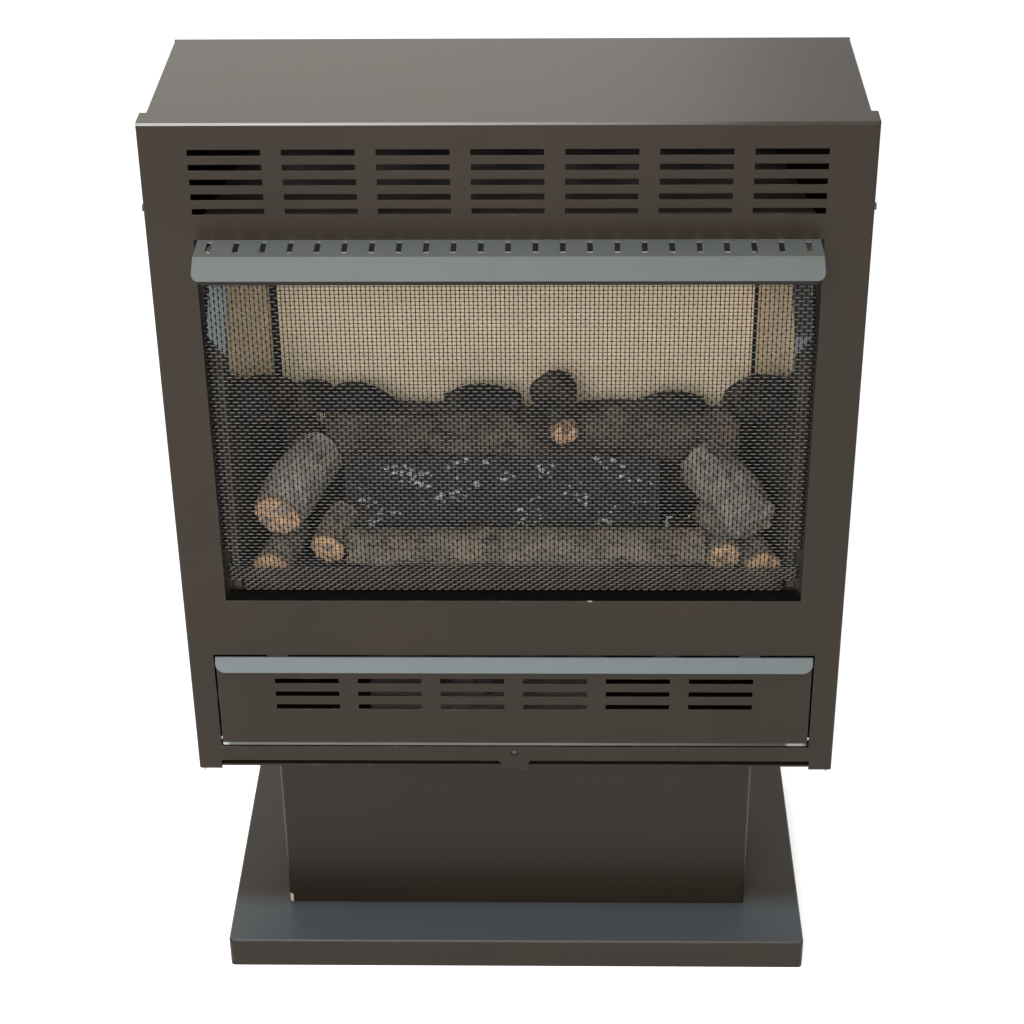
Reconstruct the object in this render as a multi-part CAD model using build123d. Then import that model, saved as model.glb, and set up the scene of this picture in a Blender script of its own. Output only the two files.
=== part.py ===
"""Vent-free gas stove: a slotted sheet-steel cabinet on a pedestal, with a log fire behind a wire screen.

Millimetres. The origin is the centre of the pedestal's underside, on the floor. +Z is up and the stove
faces -Y. Depths are measured back from the face of the front surround.
"""
from build123d import *
from math import atan2, cos, hypot, pi, radians, sin, sqrt, tan
import os

# Sheet thicknesses and fits
front_sheet = 1.5
shell_sheet = 1.2
heavy_sheet = 2.0
contact_gap = 0.3
running_clearance = 0.05
cut_overrun = 1.0
fastener_sides = 6
nut_sides = 6

# Pedestal
base_width = 646.0
base_depth = 331.0
base_height = 36.8
base_projection = 51.0
base_corner_radius = 5.0
base_fold = 1.6
base_rim = 16.0
stiffener_width = 60.0
column_width = 520.0
column_depth = 199.0
column_setback = 15.0
column_height = 201.9
column_flange = 25.0
column_bend_radius = 4.0
pedestal_bolt_diameter = 8.0
pedestal_bolt_head = 13.0
pedestal_bolt_head_height = 4.8
pedestal_bolt_from_middle = 60.0

# Cabinet
cabinet_width = 682.0
cabinet_depth = 228.7
cabinet_height = 753.6
pan_sheet = 2.2
pan_front_setback = 8.5
pan_upstand = 30.0
pan_tab_inset = 2.0
back_vent_columns = 6
back_vent_rows = 3
back_vent_width = 60.0
back_vent_height = 5.0
back_vent_pitch_x = 90.0
back_vent_pitch_z = 14.0
back_vent_below_top = 45.0
back_screw_rows = 4
screw_head_diameter = 8.0
screw_head_height = 2.2
screw_shank_diameter = 4.0
screw_length = 9.0
back_flange = 14.0

# Front surround
surround_margin = 5.0
surround_width = cabinet_width + 2 * surround_margin
surround_lift = 2.0
surround_flange = 28.4
surround_edge_radius = 2.4
surround_foot_chamfer = 1.0
surround_return_inset = 20.0
grille_columns = 7
grille_rows = 5
grille_pitch_x = 88.5
grille_pitch_z = 15.0
grille_slot_width = 69.0
grille_slot_height = 6.2
grille_first_below_top = 28.8
fire_stile = 45.4
fire_opening_width = surround_width - 2 * fire_stile
fire_opening_bottom = 221.6
fire_opening_height = 414.0
hearth_return = 22.0
hearth_inset = 2.0
door_stile = 26.5
door_opening_width = surround_width - 2 * door_stile
door_opening_bottom = 30.8
door_opening_height = 121.6
rail_notch_margin = 1.5
rail_notch_width = door_opening_width + 2 * rail_notch_margin
rail_notch_height = 11.8
rail_tab_width = 33.0
rail_tab_drop = 2.6
rail_screw_diameter = 6.0
rail_hole_diameter = 9.0
rail_screw_above_middle = 2.0
rail_screw_head = 1.3
side_screw_depth = 9.0
side_screw_rise = 30.0

# Hood over the fire
hood_side_gap = 3.0
hood_width = fire_opening_width - 2 * hood_side_gap
hood_reach = 34.0
hood_lip_run = 23.0
hood_lip_drop = 14.5
hood_below_opening_top = 1.6
hood_sheet = 1.5
hood_corner_radius = 9.0
hood_back_rise = 16.0
hood_slot_count = 23
hood_slot_pitch = 25.9
hood_slot_width = 5.3
hood_slot_length = 25.0
hood_slot_inset = 1.0
hood_screw_rise = 9.6
hood_screw_places = (-255.0, -85.0, 85.0, 255.0)

# Wire screen
screen_depth = 4.0
screen_sheet = 1.2
screen_side_gap = 1.2
screen_half_width = fire_opening_width / 2 - screen_side_gap
screen_taper_width = 5.8
screen_taper_height = 71.0
screen_top_half_width = screen_half_width - screen_taper_width
screen_below_opening_top = 31.6
screen_top = fire_opening_bottom + fire_opening_height - screen_below_opening_top
screen_taper_start = screen_top - screen_taper_height
screen_return = 12.0
screen_hem = 6.0
screen_flange_run = 15.0
screen_flange_drop = 49.4
screen_fold = fire_opening_bottom + contact_gap + screen_flange_drop
screen_foot_step = 14.9
screen_flange_half_width = screen_half_width - screen_foot_step
screen_shoulder_drop = 34.0
screen_notch_width = 6.5
screen_notch_above = 8.0
screen_notch_below = 14.0
screen_gap_columns = 14
screen_gap_rows = 8
screen_gap_bar = 3.0
screen_gap_margin = 7.0
hanger_sheet = 1.2
hanger_width = 17.0
hanger_top_inset = 5.4
hanger_top_half_width = screen_top_half_width - hanger_top_inset
hanger_foot_inset = 2.4
hanger_foot_half_width = screen_half_width - hanger_foot_inset
hanger_rise = 8.0
hanger_outer_drop = 73.7
hanger_inner_drop = 95.7
hanger_hook = 7.0

# Firebox
firebox_front = 27.0
firebox_back_space = 19.7
firebox_back = cabinet_depth - firebox_back_space
firebox_inset = 4.1
firebox_front_half_width = fire_opening_width / 2 - firebox_inset
firebox_splay = 29.7
firebox_back_half_width = firebox_front_half_width - firebox_splay
firebox_flange_half_width = cabinet_width / 2 - shell_sheet - contact_gap
firebox_skirt = 20.0
firebox_headroom = 10.0
firebox_roof_height = fire_opening_height + firebox_headroom
roof_front = 40.0
liner_thickness = 8.0
liner_height = 389.0
liner_front = 30.0
back_liner_inset = 13.3
back_liner_width = 2 * (firebox_back_half_width - back_liner_inset)
back_liner_shift = 2.0

# Grate, burner and embers
grate_bar = 7.0
grate_height = 21.0
grate_bars = 11
grate_feet = 6
grate_end_space = 68.5
grate_half_length = firebox_front_half_width - grate_end_space
grate_front = 26.0
grate_back = 76.0
burner_end_space = 151.5
burner_width = 2 * (firebox_front_half_width - burner_end_space)
burner_depth = 56.0
burner_height = 34.0
burner_front = 84.0
burner_edge = 4.0
burner_port_columns = 11
burner_port_length = 14.0
burner_port_width = 2.5
burner_port_row_gap = 28.0
burner_end_margin = 20.0
riser_x = -60.0
riser_depth = 97.0
riser_diameter = 22.0
venturi_drop = 31.0
venturi_length = 82.0
mixer_diameter = 36.0
mixer_length = 30.0
mixer_straight = 12.0
mixer_window_length = 6.0
mixer_window_width = 12.0
saddle_x = 110.0
saddle_sheet = 3.0
saddle_foot = 16.0
saddle_front = 141.0
saddle_back_space = 27.0
saddle_back = firebox_back - saddle_back_space
ember_end_space = 129.0
ember_width = 2 * (firebox_front_half_width - ember_end_space)
ember_shift = -12.5
ember_front = 72.0
ember_back = 117.0
ember_ledge = 13.0
ember_shelf = 27.0
ember_stations = 11
ember_front_height = 53.0
ember_middle_height = 80.0
ember_back_height = 112.0
ember_roughness = 4.0

# Logs, each as places along its length: X, depth, height above the firebox floor, radius. The set is laid
# out for a firebox of this half width in front, and spreads with it.
log_set_half_width = 296.5
log_sides = 10
log_roughness = 0.07
front_log_line = [
    (-172, 42, 42, 20), (-96, 41, 43, 22), (0, 43, 41, 21), (100, 41, 43, 22), (200, 42, 42, 20)]
rear_log_line = [
    (-200, 150, 120, 28), (-104, 152, 122, 33), (12, 149, 119, 31), (118, 151, 122, 33), (240, 150, 117, 30)]
left_log_line = [(-245, 36, 84, 26), (-233, 76, 94, 30), (-209, 130, 106, 29)]
right_log_line = [(249, 40, 76, 29), (229, 78, 90, 31), (200, 118, 102, 29)]
centre_log_line = [(55, 92, 150, 15), (48, 125, 160, 20), (42, 160, 165, 26)]
left_rear_log_line = [(-266, 38, 220, 20), (-258, 98, 190, 25), (-246, 166, 150, 24)]
right_rear_log_line = [(266, 38, 226, 20), (258, 98, 190, 25), (246, 166, 146, 24)]
left_front_log_line = [(-194, 30, 47, 19), (-188, 58, 54, 18), (-180, 84, 58, 17)]
right_front_log_line = [(221, 30, 37, 19), (216, 64, 44, 18), (208, 100, 50, 18)]
left_low_log_line = [(-255, 30, 20, 21), (-246, 72, 21, 20), (-236, 112, 21, 18)]
right_low_log_line = [(262, 30, 22, 21), (254, 70, 21, 19), (244, 112, 21, 18)]
left_char_log_line = [
    (-240, 147, 156, 12), (-222, 149, 162, 19), (-206, 150, 162, 19), (-194, 151, 154, 12),
    (-180, 152, 158, 18), (-158, 153, 157, 18), (-128, 152, 146, 12)]
middle_char_log_line = [(-70, 150, 154, 14), (-34, 154, 157, 17), (5, 152, 154, 13)]
right_char_log_line = [(134, 150, 147, 12), (168, 154, 151, 16), (201, 152, 148, 12)]

# Pilot
pilot_from_side = 120.5
pilot_x = firebox_front_half_width - pilot_from_side
pilot_depth = 90.0
pilot_spacing = 12.0
pilot_set_back = 10.0
pilot_sheet = 1.5
pilot_bracket_height = 37.0
pilot_bracket_front_margin = 7.0
pilot_bracket_back_margin = 10.0
pilot_foot = 12.0
pilot_shelf_height = 20.0
pilot_burner_height = 44.0
pilot_burner_diameter = 8.0
pilot_tail = 8.0
pilot_nut_height = 5.0
pilot_nut = 11.0
pilot_wall = 1.5
flame_slots = (-40, 0, 40)
flame_slot_width = 1.6
flame_slot_height = 3.0
flame_slot_below_top = 5.0
thermocouple_diameter = 6.0
thermocouple_height = 46.0
thermocouple_lead_diameter = 3.0
electrode_diameter = 7.0
electrode_height = 38.0
electrode_tip_diameter = 1.6
electrode_tip_rise = 6.0
electrode_tip_reach = 6.0
rod_end_below_floor = 3.6

# Control door
door_gap_below = 2.0
door_gap_above = 2.6
door_gap_side = 2.0
door_sheet = 1.5
door_lip_run = 11.5
door_lip_drop = 11.5
door_lip_corner = 11.0
door_side_flange = 9.0
door_ear_depth = 13.0
door_ear_height = 16.0
door_grille_columns = 6
door_grille_rows = 3
door_grille_pitch_x = 88.6
door_grille_pitch_z = 16.9
door_slot_width = 68.4
door_slot_height = 6.2
door_grille_first_below_top = 31.5
door_pin_diameter = 5.0
door_pin_depth = 6.5
door_pin_rise = 7.5
hinge_height = 26.0
hinge_flange = 16.0
magnet_from_side = 68.5
magnet_x = door_opening_width / 2 - magnet_from_side
magnet_width = 22.0
magnet_depth = 10.0
magnet_reach = 11.0
magnet_overlap = 2.0
magnet_plate_rise = 6.0

# Controls behind the door
control_sheet = 1.5
control_depth = 62.0
control_left = -160.0
control_right = 100.0
control_height = 118.0
control_foot = 30.0
control_corner = 6.0
valve_left = -116.0
valve_right = -6.0
valve_bottom = 52.0
valve_height = 65.0
valve_depth = 48.0
valve_corner = 6.0
valve_cover = 8.0
valve_cover_inset_x = 25.0
valve_cover_inset_z = 8.0
valve_boss_diameter = 14.0
valve_top_boss_diameter = 10.0
valve_boss_length = 5.0
stem_hole_diameter = 20.0
stem_diameter = 8.0
stem_height = 92.0
stem_travel = 4.0
stem_grip = 12.0
stem_seat_depth = 18.0
stem_collar = 1.5
stem_collar_diameter = 12.0
gas_knob_x = -85.0
flame_knob_x = -27.0
knob_front = 34.0
knob_length = 17.0
knob_skirt = 6.0
knob_skirt_diameter = 36.0
knob_grip_diameter = 26.0
knob_grip_bar = 9.0
knob_bar_inset = 2.0
igniter_x = 45.0
igniter_height = 98.0
igniter_diameter = 20.0
igniter_front = 50.0
igniter_length = 34.0
igniter_bore_depth = 24.0
igniter_flange = 3.0
igniter_flange_diameter = 26.0
igniter_nut = 4.0
igniter_button_diameter = 13.0
igniter_button_front = 42.0
igniter_button_length = 18.0
igniter_button_chamfer = 1.5
spring_diameter = 9.0
spring_wire = 1.0
spring_turns = 5
spring_steps = 8
spring_sides = 5
round_sides = 24

# Gas and spark lines
tube_diameter = 9.5
tube_bend = 18.0
tube_arc_steps = 3
tube_sides = 10
pilot_tube_diameter = 4.8
pilot_tube_bend = 12.6
pilot_tube_rise = 160.0
pilot_tube_x = -40.0
lead_rise = 172.0
lead_x = -18.0
wire_diameter = 3.2
wire_bend = 10.0
wire_depth = 125.0
wire_rise = 190.0
inlet_from_side = 106.0
inlet_x = cabinet_width / 2 - inlet_from_side
inlet_height = 62.0
inlet_thread_diameter = 15.9
inlet_bore_diameter = 11.0
inlet_reach = 18.0
inlet_hex = 24.0
inlet_hex_length = 14.0
inlet_locknut = 5.0
regulator_x = 170.0
regulator_depth = 150.0
regulator_diameter = 52.0
regulator_body = 34.0
regulator_corner = 4.0
regulator_block_height = 24.0
regulator_case_height = 6.0
regulator_dome_height = 12.0
regulator_dome_diameter = 39.0
regulator_cap = 14.0
regulator_cap_height = 4.0
regulator_boss_length = 8.0
valve_port_x = -20.0
supply_x = -175.0
supply_height = 92.0

# Worked out from the sizes above
front_y = base_projection - base_depth / 2
pan_z = base_height + column_height
cabinet_z = pan_z + pan_sheet
frame_z = pan_z + surround_lift
top_z = frame_z + cabinet_height
fire_z0 = frame_z + fire_opening_bottom
fire_z1 = fire_z0 + fire_opening_height
door_z0 = frame_z + door_opening_bottom
door_z1 = door_z0 + door_opening_height
floor_z = fire_z0 - front_sheet


def deep(distance):
    """The Y of a plane this far behind the front face."""
    return front_y + distance


def block(x0, x1, y0, y1, z0, z1):
    """A box between two corners."""
    middle = ((x0 + x1) / 2, (y0 + y1) / 2, (z0 + z1) / 2)
    return Pos(*middle) * Box(x1 - x0, y1 - y0, z1 - z0)


def sheet_xz(points, y, thickness, windows=()):
    """A plate standing in XZ, from its front at y, with rectangular windows (x, z, width, height)."""
    face = make_face(Polyline(*points, close=True))
    if windows:
        face -= [Pos(x, z) * Rectangle(width, height) for x, z, width, height in windows]
    return Pos(0, y, 0) * Rot(90, 0, 0) * extrude(face, -thickness)


def bar_section(diameter, sides):
    """A round section, or one with flat sides where their number is given."""
    return RegularPolygon(diameter / 2, sides) if sides else Circle(diameter / 2)


def rod_y(x, z, y0, y1, diameter, sides=0):
    """A bar along Y."""
    return Pos(x, y0, z) * Rot(-90, 0, 0) * extrude(bar_section(diameter, sides), y1 - y0)


def rod_x(y, z, x0, x1, diameter, sides=0):
    """A bar along X."""
    return Pos(x0, y, z) * Rot(0, 90, 0) * extrude(bar_section(diameter, sides), x1 - x0)


def rod_z(x, y, z0, z1, diameter, sides=0):
    """A bar along Z."""
    return Pos(x, y, z0) * extrude(bar_section(diameter, sides), z1 - z0)


def hexagon_z(x, y, z0, z1, across):
    """A hexagonal head along Z, with its size across the flats."""
    return Pos(x, y, z0) * extrude(RegularPolygon(across / 2, nut_sides, major_radius=False), z1 - z0)


def hexagon_y(x, z, y0, y1, across):
    """A hexagonal head along Y, with its size across the flats."""
    section = RegularPolygon(across / 2, nut_sides, major_radius=False)
    return Pos(x, y0, z) * Rot(-90, 0, 0) * extrude(section, y1 - y0)


def ring_points(plane, radii):
    """A ring of points on a plane, at these distances from its origin."""
    step = 2 * pi / len(radii)
    return [
        plane.from_local_coords(Vector(radius * cos(step * index), radius * sin(step * index), 0))
        for index, radius in enumerate(radii)
    ]


def flat_ring(plane, radii):
    """A closed ring on a plane, at these distances from its origin."""
    return Wire.make_polygon(ring_points(plane, radii), close=True)


def flat_sided(rings):
    """A solid with flat sides from each ring of points to the next, which lies parallel to it."""
    sides = [Face(Wire.make_polygon(ring, close=True)) for ring in (rings[0], rings[-1])]
    for ring, after in zip(rings, rings[1:]):
        for index in range(len(ring)):
            near, far = ring[index - 1], after[index - 1]
            sides.append(Face(Wire.make_polygon([near, ring[index], after[index], far], close=True)))
    return Part(Solid(Shell(sides)).wrapped)


def ruled_loft(rings):
    """A solid with straight lines from each ring to the next."""
    return Part(Solid.make_loft(rings, ruled=True).wrapped)


def tube_along(points, bend, diameter):
    """A tube along straight runs joined by arcs, as a loft through rings."""
    points = [Vector(*point) for point in points]
    ways = [(end - start).normalized() for start, end in zip(points, points[1:])]
    stops = [(points[0], ways[0])]
    for corner, before, after in zip(points[1:], ways, ways[1:]):
        turn = radians(before.get_angle(after))
        inward = (after - before * cos(turn)) * (1 / sin(turn))
        start = corner - before * (bend * tan(turn / 2))
        for step in range(tube_arc_steps + 1):
            angle = turn * step / tube_arc_steps
            place = start + before * (bend * sin(angle)) + inward * (bend * (1 - cos(angle)))
            stops.append((place, before * cos(angle) + inward * sin(angle)))
    stops.append((points[-1], ways[-1]))
    across = Plane(origin=points[0], z_dir=ways[0]).x_dir
    rings = []
    for place, ahead in stops:
        across = (across - ahead * across.dot(ahead)).normalized()
        rings.append(flat_ring(Plane(origin=place, x_dir=across, z_dir=ahead), [diameter / 2] * tube_sides))
    return ruled_loft(rings)


def grille_windows(columns, rows, pitch_x, pitch_z, width, height, first_z):
    """Slots in a grille centred on X, from its top row down."""
    return [
        ((column - (columns - 1) / 2) * pitch_x, first_z - row * pitch_z, width, height)
        for column in range(columns)
        for row in range(rows)
    ]


def bent_sheet(points, thickness, radius, side=Side.LEFT):
    """The section of a folded sheet: a line of bends thickened to one side."""
    path = FilletPolyline(*points, radius=radius) if radius else Polyline(*points)
    return make_face(offset(path, amount=thickness, side=side))


def along_x(face, x0, x1):
    """Extrudes a section drawn in (Y, Z) from x0 to x1."""
    return Pos(x0, 0, 0) * extrude(Plane.YZ * face, x1 - x0)


def along_y(face, y0, y1):
    """Extrudes a section drawn in (X, Z) from y0 to y1."""
    return Pos(0, y0, 0) * extrude(Plane.XZ * face, -(y1 - y0))


def both_sides(right):
    """An outline that is the same on both sides, from its right half."""
    return right + [(-x, other) for x, other in reversed(right)]


def mirrored(solid):
    """The same piece on the other side of the stove."""
    return mirror(solid, about=Plane.YZ)


# Pedestal

def base_plate():
    """The foot: a folded tray, open below, standing on its inturned rim."""
    half_x, half_y = base_width / 2, base_depth / 2
    tray = block(-half_x, half_x, -half_y, half_y, 0, base_height)
    tray = fillet(tray.edges().filter_by(Axis.Z), base_corner_radius)
    tray = chamfer(tray.faces().sort_by(Axis.Z)[-1].edges(), base_fold)
    inner_x, inner_y = half_x - heavy_sheet, half_y - heavy_sheet
    tray -= block(-inner_x, inner_x, -inner_y, inner_y, heavy_sheet, base_height - heavy_sheet)
    tray -= block(
        base_rim - half_x, half_x - base_rim, base_rim - half_y, half_y - base_rim, -cut_overrun, heavy_sheet)
    for x, y in bolt_places():
        tray -= bolt_hole(x, y, base_height - 2 * heavy_sheet, base_height + cut_overrun)
    return tray


def bolt_places():
    """Where the column is bolted, above and below."""
    x = column_width / 2 - column_flange / 2 - heavy_sheet / 2
    middle = deep(column_setback) + column_depth / 2
    return [(side * x, middle + step * pedestal_bolt_from_middle) for side in (-1, 1) for step in (-1, 1)]


def bolt_hole(x, y, z0, z1):
    """The cut for one of the pedestal's bolts."""
    return rod_z(x, y, z0, z1, pedestal_bolt_diameter + 2 * running_clearance, fastener_sides)


def base_stiffener():
    """A channel under the middle of the foot, from its underside down to the floor."""
    half = stiffener_width / 2
    reach = base_depth / 2 - base_rim - contact_gap
    top = base_height - heavy_sheet
    channel = block(-half, half, -reach, reach, 0, heavy_sheet)
    for x in (-half, half - heavy_sheet):
        channel += block(x, x + heavy_sheet, -reach, reach, heavy_sheet, top)
    return channel


def column_shell():
    """The column: front and sides in one folded sheet, with flanges inside for its bolts."""
    half = column_width / 2
    y0, y1 = deep(column_setback), deep(column_setback) + column_depth
    shell = block(-half, half, y0, y1, base_height, pan_z)
    shell = fillet(shell.edges().filter_by(Axis.Z), column_bend_radius)
    inner = half - heavy_sheet
    hollow = block(-inner, inner, y0 + heavy_sheet, y1 - heavy_sheet, base_height, pan_z)
    shell -= fillet(hollow.edges().filter_by(Axis.Z), column_bend_radius - heavy_sheet)
    back = half - column_flange
    shell -= block(-back, back, y1 - 2 * heavy_sheet, y1 + cut_overrun, base_height, pan_z)
    for z in (base_height, pan_z - heavy_sheet):
        for x in (-inner, inner - column_flange):
            shell += block(x, x + column_flange, y0 + heavy_sheet, y1 - heavy_sheet, z, z + heavy_sheet)
    for x, y in bolt_places():
        shell -= bolt_hole(x, y, base_height - cut_overrun, pan_z + cut_overrun)
    return shell


def column_back():
    """The plate that closes the column behind, against its back flanges."""
    half = column_width / 2 - heavy_sheet - column_bend_radius
    y = deep(column_setback) + column_depth - heavy_sheet
    rise = heavy_sheet + contact_gap
    return block(-half, half, y - shell_sheet, y, base_height + rise, pan_z - rise)


def pedestal_bolts():
    """Eight bolts: four hold the column to the foot and four hold the cabinet to the column."""
    head, shank = pedestal_bolt_head_height, pedestal_bolt_diameter
    bolts = []
    for x, y in bolt_places():
        low = base_height + heavy_sheet
        foot = hexagon_z(x, y, low, low + head, pedestal_bolt_head)
        foot += rod_z(x, y, base_height - heavy_sheet - head, low, shank, fastener_sides)
        high = pan_z - heavy_sheet
        upper = hexagon_z(x, y, high - head, high, pedestal_bolt_head)
        upper += rod_z(x, y, high, cabinet_z + head, shank, fastener_sides)
        bolts += [foot, upper]
    return Compound(children=[bolt.solid() for bolt in bolts])


# Cabinet

def bottom_pan():
    """The cabinet's floor, with an upstand inside each side and a tab behind the rail for its screw."""
    half = cabinet_width / 2 - shell_sheet
    y0, y1 = deep(pan_front_setback), deep(cabinet_depth) - shell_sheet
    pan = block(-half, half, y0, y1, pan_z, cabinet_z)
    for x in (-half, half - heavy_sheet):
        pan += block(x, x + heavy_sheet, y0 + pan_upstand, y1 - pan_upstand, cabinet_z, cabinet_z + pan_upstand)
    tab = rail_tab_width / 2 - pan_tab_inset
    tab_y0, tab_y1 = deep(front_sheet), deep(front_sheet) + heavy_sheet
    tab_top = frame_z + door_opening_bottom - pan_tab_inset
    pan += block(-tab, tab, tab_y0, y0, pan_z, cabinet_z)
    pan += block(-tab, tab, tab_y0, tab_y1, cabinet_z, tab_top)
    pan -= screw_hole_y(0, rail_screw_z(), tab_y0, tab_y1)
    for x, y in bolt_places():
        pan -= bolt_hole(x, y, pan_z - cut_overrun, cabinet_z + cut_overrun)
    return pan


def rail_screw_z():
    """The height of the screw in the middle of the rail."""
    return (frame_z + rail_notch_height + door_z0) / 2 + rail_screw_above_middle


def screw_hole_y(x, z, y0, y1):
    """The cut for a screw along Y, through what lies between two planes."""
    hole = screw_shank_diameter + 2 * running_clearance
    return rod_y(x, z, y0 - cut_overrun, y1 + cut_overrun, hole, fastener_sides)


def screw_hole_x(side, x):
    """The cut for the screw through each side of the surround, about a plane across X."""
    x0, x1 = side * x - 2 * heavy_sheet, side * x + 2 * heavy_sheet
    hole = screw_shank_diameter + 2 * running_clearance
    return rod_x(deep(side_screw_depth), side_screw_z(), x0, x1, hole, fastener_sides)


def cabinet_shell():
    """Top and both sides in one folded sheet, with flanges behind for the back panel."""
    half = cabinet_width / 2
    top = top_z - front_sheet
    y0, y1 = deep(front_sheet), deep(cabinet_depth) - shell_sheet
    path = ((-half, pan_z), (-half, top), (half, top), (half, pan_z))
    shell = along_y(bent_sheet(path, shell_sheet, 2 * shell_sheet, Side.RIGHT), y0, y1)
    inner = half - shell_sheet
    flange_y = y1 - shell_sheet
    for x in (-inner, inner - back_flange):
        shell += block(x, x + back_flange, flange_y, y1, cabinet_z + pan_upstand, top - 2 * shell_sheet)
    for side in (-1, 1):
        shell -= screw_hole_x(side, half)
        for z in back_screw_heights():
            shell -= screw_hole_y(side * back_screw_x(), z, flange_y, y1)
    return shell


def back_screw_x():
    """How far the back panel's screws lie from the middle."""
    return cabinet_width / 2 - shell_sheet - back_flange / 2


def back_screw_heights():
    """The heights of the back panel's screws."""
    low, high = cabinet_z + 2 * pan_upstand, top_z - pan_upstand
    return [low + (high - low) * step / (back_screw_rows - 1) for step in range(back_screw_rows)]


def side_screw_z():
    """The height of the screw through each side of the surround."""
    return fire_z1 + side_screw_rise


def back_panel():
    """The plain back, with rows of vent slots at the top and a hole for the gas inlet."""
    half = cabinet_width / 2
    outline = ((-half, pan_z), (half, pan_z), (half, top_z - front_sheet), (-half, top_z - front_sheet))
    slots = grille_windows(
        back_vent_columns, back_vent_rows, back_vent_pitch_x, back_vent_pitch_z, back_vent_width,
        back_vent_height, top_z - back_vent_below_top)
    y = deep(cabinet_depth) - shell_sheet
    panel = sheet_xz(outline, y, shell_sheet, slots)
    panel -= rod_y(
        inlet_x, cabinet_z + inlet_height, y - cut_overrun, y + shell_sheet + cut_overrun,
        inlet_thread_diameter + 2 * contact_gap)
    for side in (-1, 1):
        for z in back_screw_heights():
            panel -= screw_hole_y(side * back_screw_x(), z, y, y + shell_sheet)
    return panel


def back_screws():
    """The hexagon-headed screws that hold the back panel."""
    y = deep(cabinet_depth)
    screws = []
    for side in (-1, 1):
        for z in back_screw_heights():
            x = side * back_screw_x()
            screw = hexagon_y(x, z, y, y + screw_head_height, screw_head_diameter)
            screw += rod_y(x, z, y - screw_length, y, screw_shank_diameter, fastener_sides)
            screws.append(screw.solid())
    return Compound(children=screws)


# Front

def front_surround():
    """The front frame: a folded sheet with the top grille, the fire opening, the door opening and the rail."""
    half = surround_width / 2
    back = deep(surround_flange)
    frame = block(-half, half, front_y, back, frame_z, top_z)
    edges = frame.faces().sort_by(Axis.Y)[0].edges()
    bottom = edges.sort_by(Axis.Z)[0]
    frame = fillet([edge for edge in edges if edge != bottom], surround_edge_radius)
    inner = half - front_sheet
    frame -= block(
        -inner, inner, deep(front_sheet), back + cut_overrun, frame_z - cut_overrun, top_z - front_sheet)
    windows = grille_windows(
        grille_columns, grille_rows, grille_pitch_x, grille_pitch_z, grille_slot_width, grille_slot_height,
        top_z - grille_first_below_top)
    windows.append((0, (fire_z0 + fire_z1) / 2, fire_opening_width, fire_opening_height))
    windows.append((0, (door_z0 + door_z1) / 2, door_opening_width, door_opening_height))
    near, far = front_y - cut_overrun, deep(front_sheet) + cut_overrun
    cuts = [
        block(x - width / 2, x + width / 2, near, far, z - height / 2, z + height / 2)
        for x, z, width, height in windows
    ]
    notch = rail_notch_width / 2
    rail_z = frame_z + rail_notch_height
    cuts.append(block(-notch, notch, near, far, frame_z - cut_overrun, rail_z))
    cuts.append(rod_y(0, rail_screw_z(), near, far, rail_hole_diameter))
    cuts += [screw_hole_x(side, half) for side in (-1, 1)]
    frame -= cuts
    tab = rail_tab_width / 2
    frame += block(-tab, tab, front_y, deep(front_sheet), rail_z - rail_tab_drop, rail_z)
    hearth = fire_opening_width / 2 - hearth_inset
    frame += block(-hearth, hearth, deep(front_sheet), deep(hearth_return), fire_z0 - front_sheet, fire_z0)
    cabinet_half = cabinet_width / 2
    low, high = frame_z + surround_return_inset, top_z - surround_return_inset
    for x0, x1 in ((-inner, -cabinet_half), (cabinet_half, inner)):
        frame += block(x0, x1, back - front_sheet, back, low, high)
    corners = frame.edges().filter_by(Axis.Y).group_by(Axis.Z)[0].group_by(Axis.X)
    return chamfer(corners[0] + corners[-1], surround_foot_chamfer)


def hood():
    """The hood over the fire: a slotted level top and a lip sloping down, tucked up behind the surround."""
    top = fire_z1 - hood_below_opening_top
    path = (
        (deep(front_sheet), top + hood_back_rise),
        (deep(front_sheet), top),
        (deep(-hood_reach), top),
        (deep(-hood_reach - hood_lip_run), top - hood_lip_drop),
    )
    half = hood_width / 2
    sheet = along_x(bent_sheet(path, hood_sheet, 0), -half, half)
    slots = []
    for index in range(hood_slot_count):
        x = (index - (hood_slot_count - 1) / 2) * hood_slot_pitch
        slots.append(block(
            x - hood_slot_width / 2, x + hood_slot_width / 2, deep(-hood_slot_inset - hood_slot_length),
            deep(-hood_slot_inset), top - 2 * hood_sheet, top + cut_overrun))
    sheet -= slots
    return fillet(lip_corners(sheet, half), hood_corner_radius)


def lip_corners(sheet, half):
    """The short edges at the two front corners of a sheet folded forward, half as wide as given."""
    ends = sheet.edges().filter_by(lambda edge: abs(abs(edge.center().X) - half) < running_clearance)
    return ends.filter_by(lambda edge: edge.length < 3 * front_sheet).group_by(Axis.Y)[0]


def front_screws():
    """Four screws behind the hood, one in the rail and one in each side of the surround."""
    z = fire_z1 - hood_below_opening_top + hood_screw_rise
    y = deep(front_sheet) + hood_sheet
    screws = [hexagon_y(x, z, y, y + screw_head_height, screw_head_diameter) for x in hood_screw_places]
    back = deep(front_sheet)
    rail = rod_y(0, rail_screw_z(), back - rail_screw_head, back, rail_screw_diameter)
    rail += rod_y(0, rail_screw_z(), back, back + screw_length, screw_shank_diameter, fastener_sides)
    half, y = surround_width / 2, deep(side_screw_depth)
    side = rod_x(y, side_screw_z(), half - screw_length, half, screw_shank_diameter, fastener_sides)
    side += rod_x(y, side_screw_z(), half, half + screw_head_height, screw_head_diameter, fastener_sides)
    screws += [rail, side, mirrored(side)]
    return Compound(children=[screw.solid() for screw in screws])


# Wire screen

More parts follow.
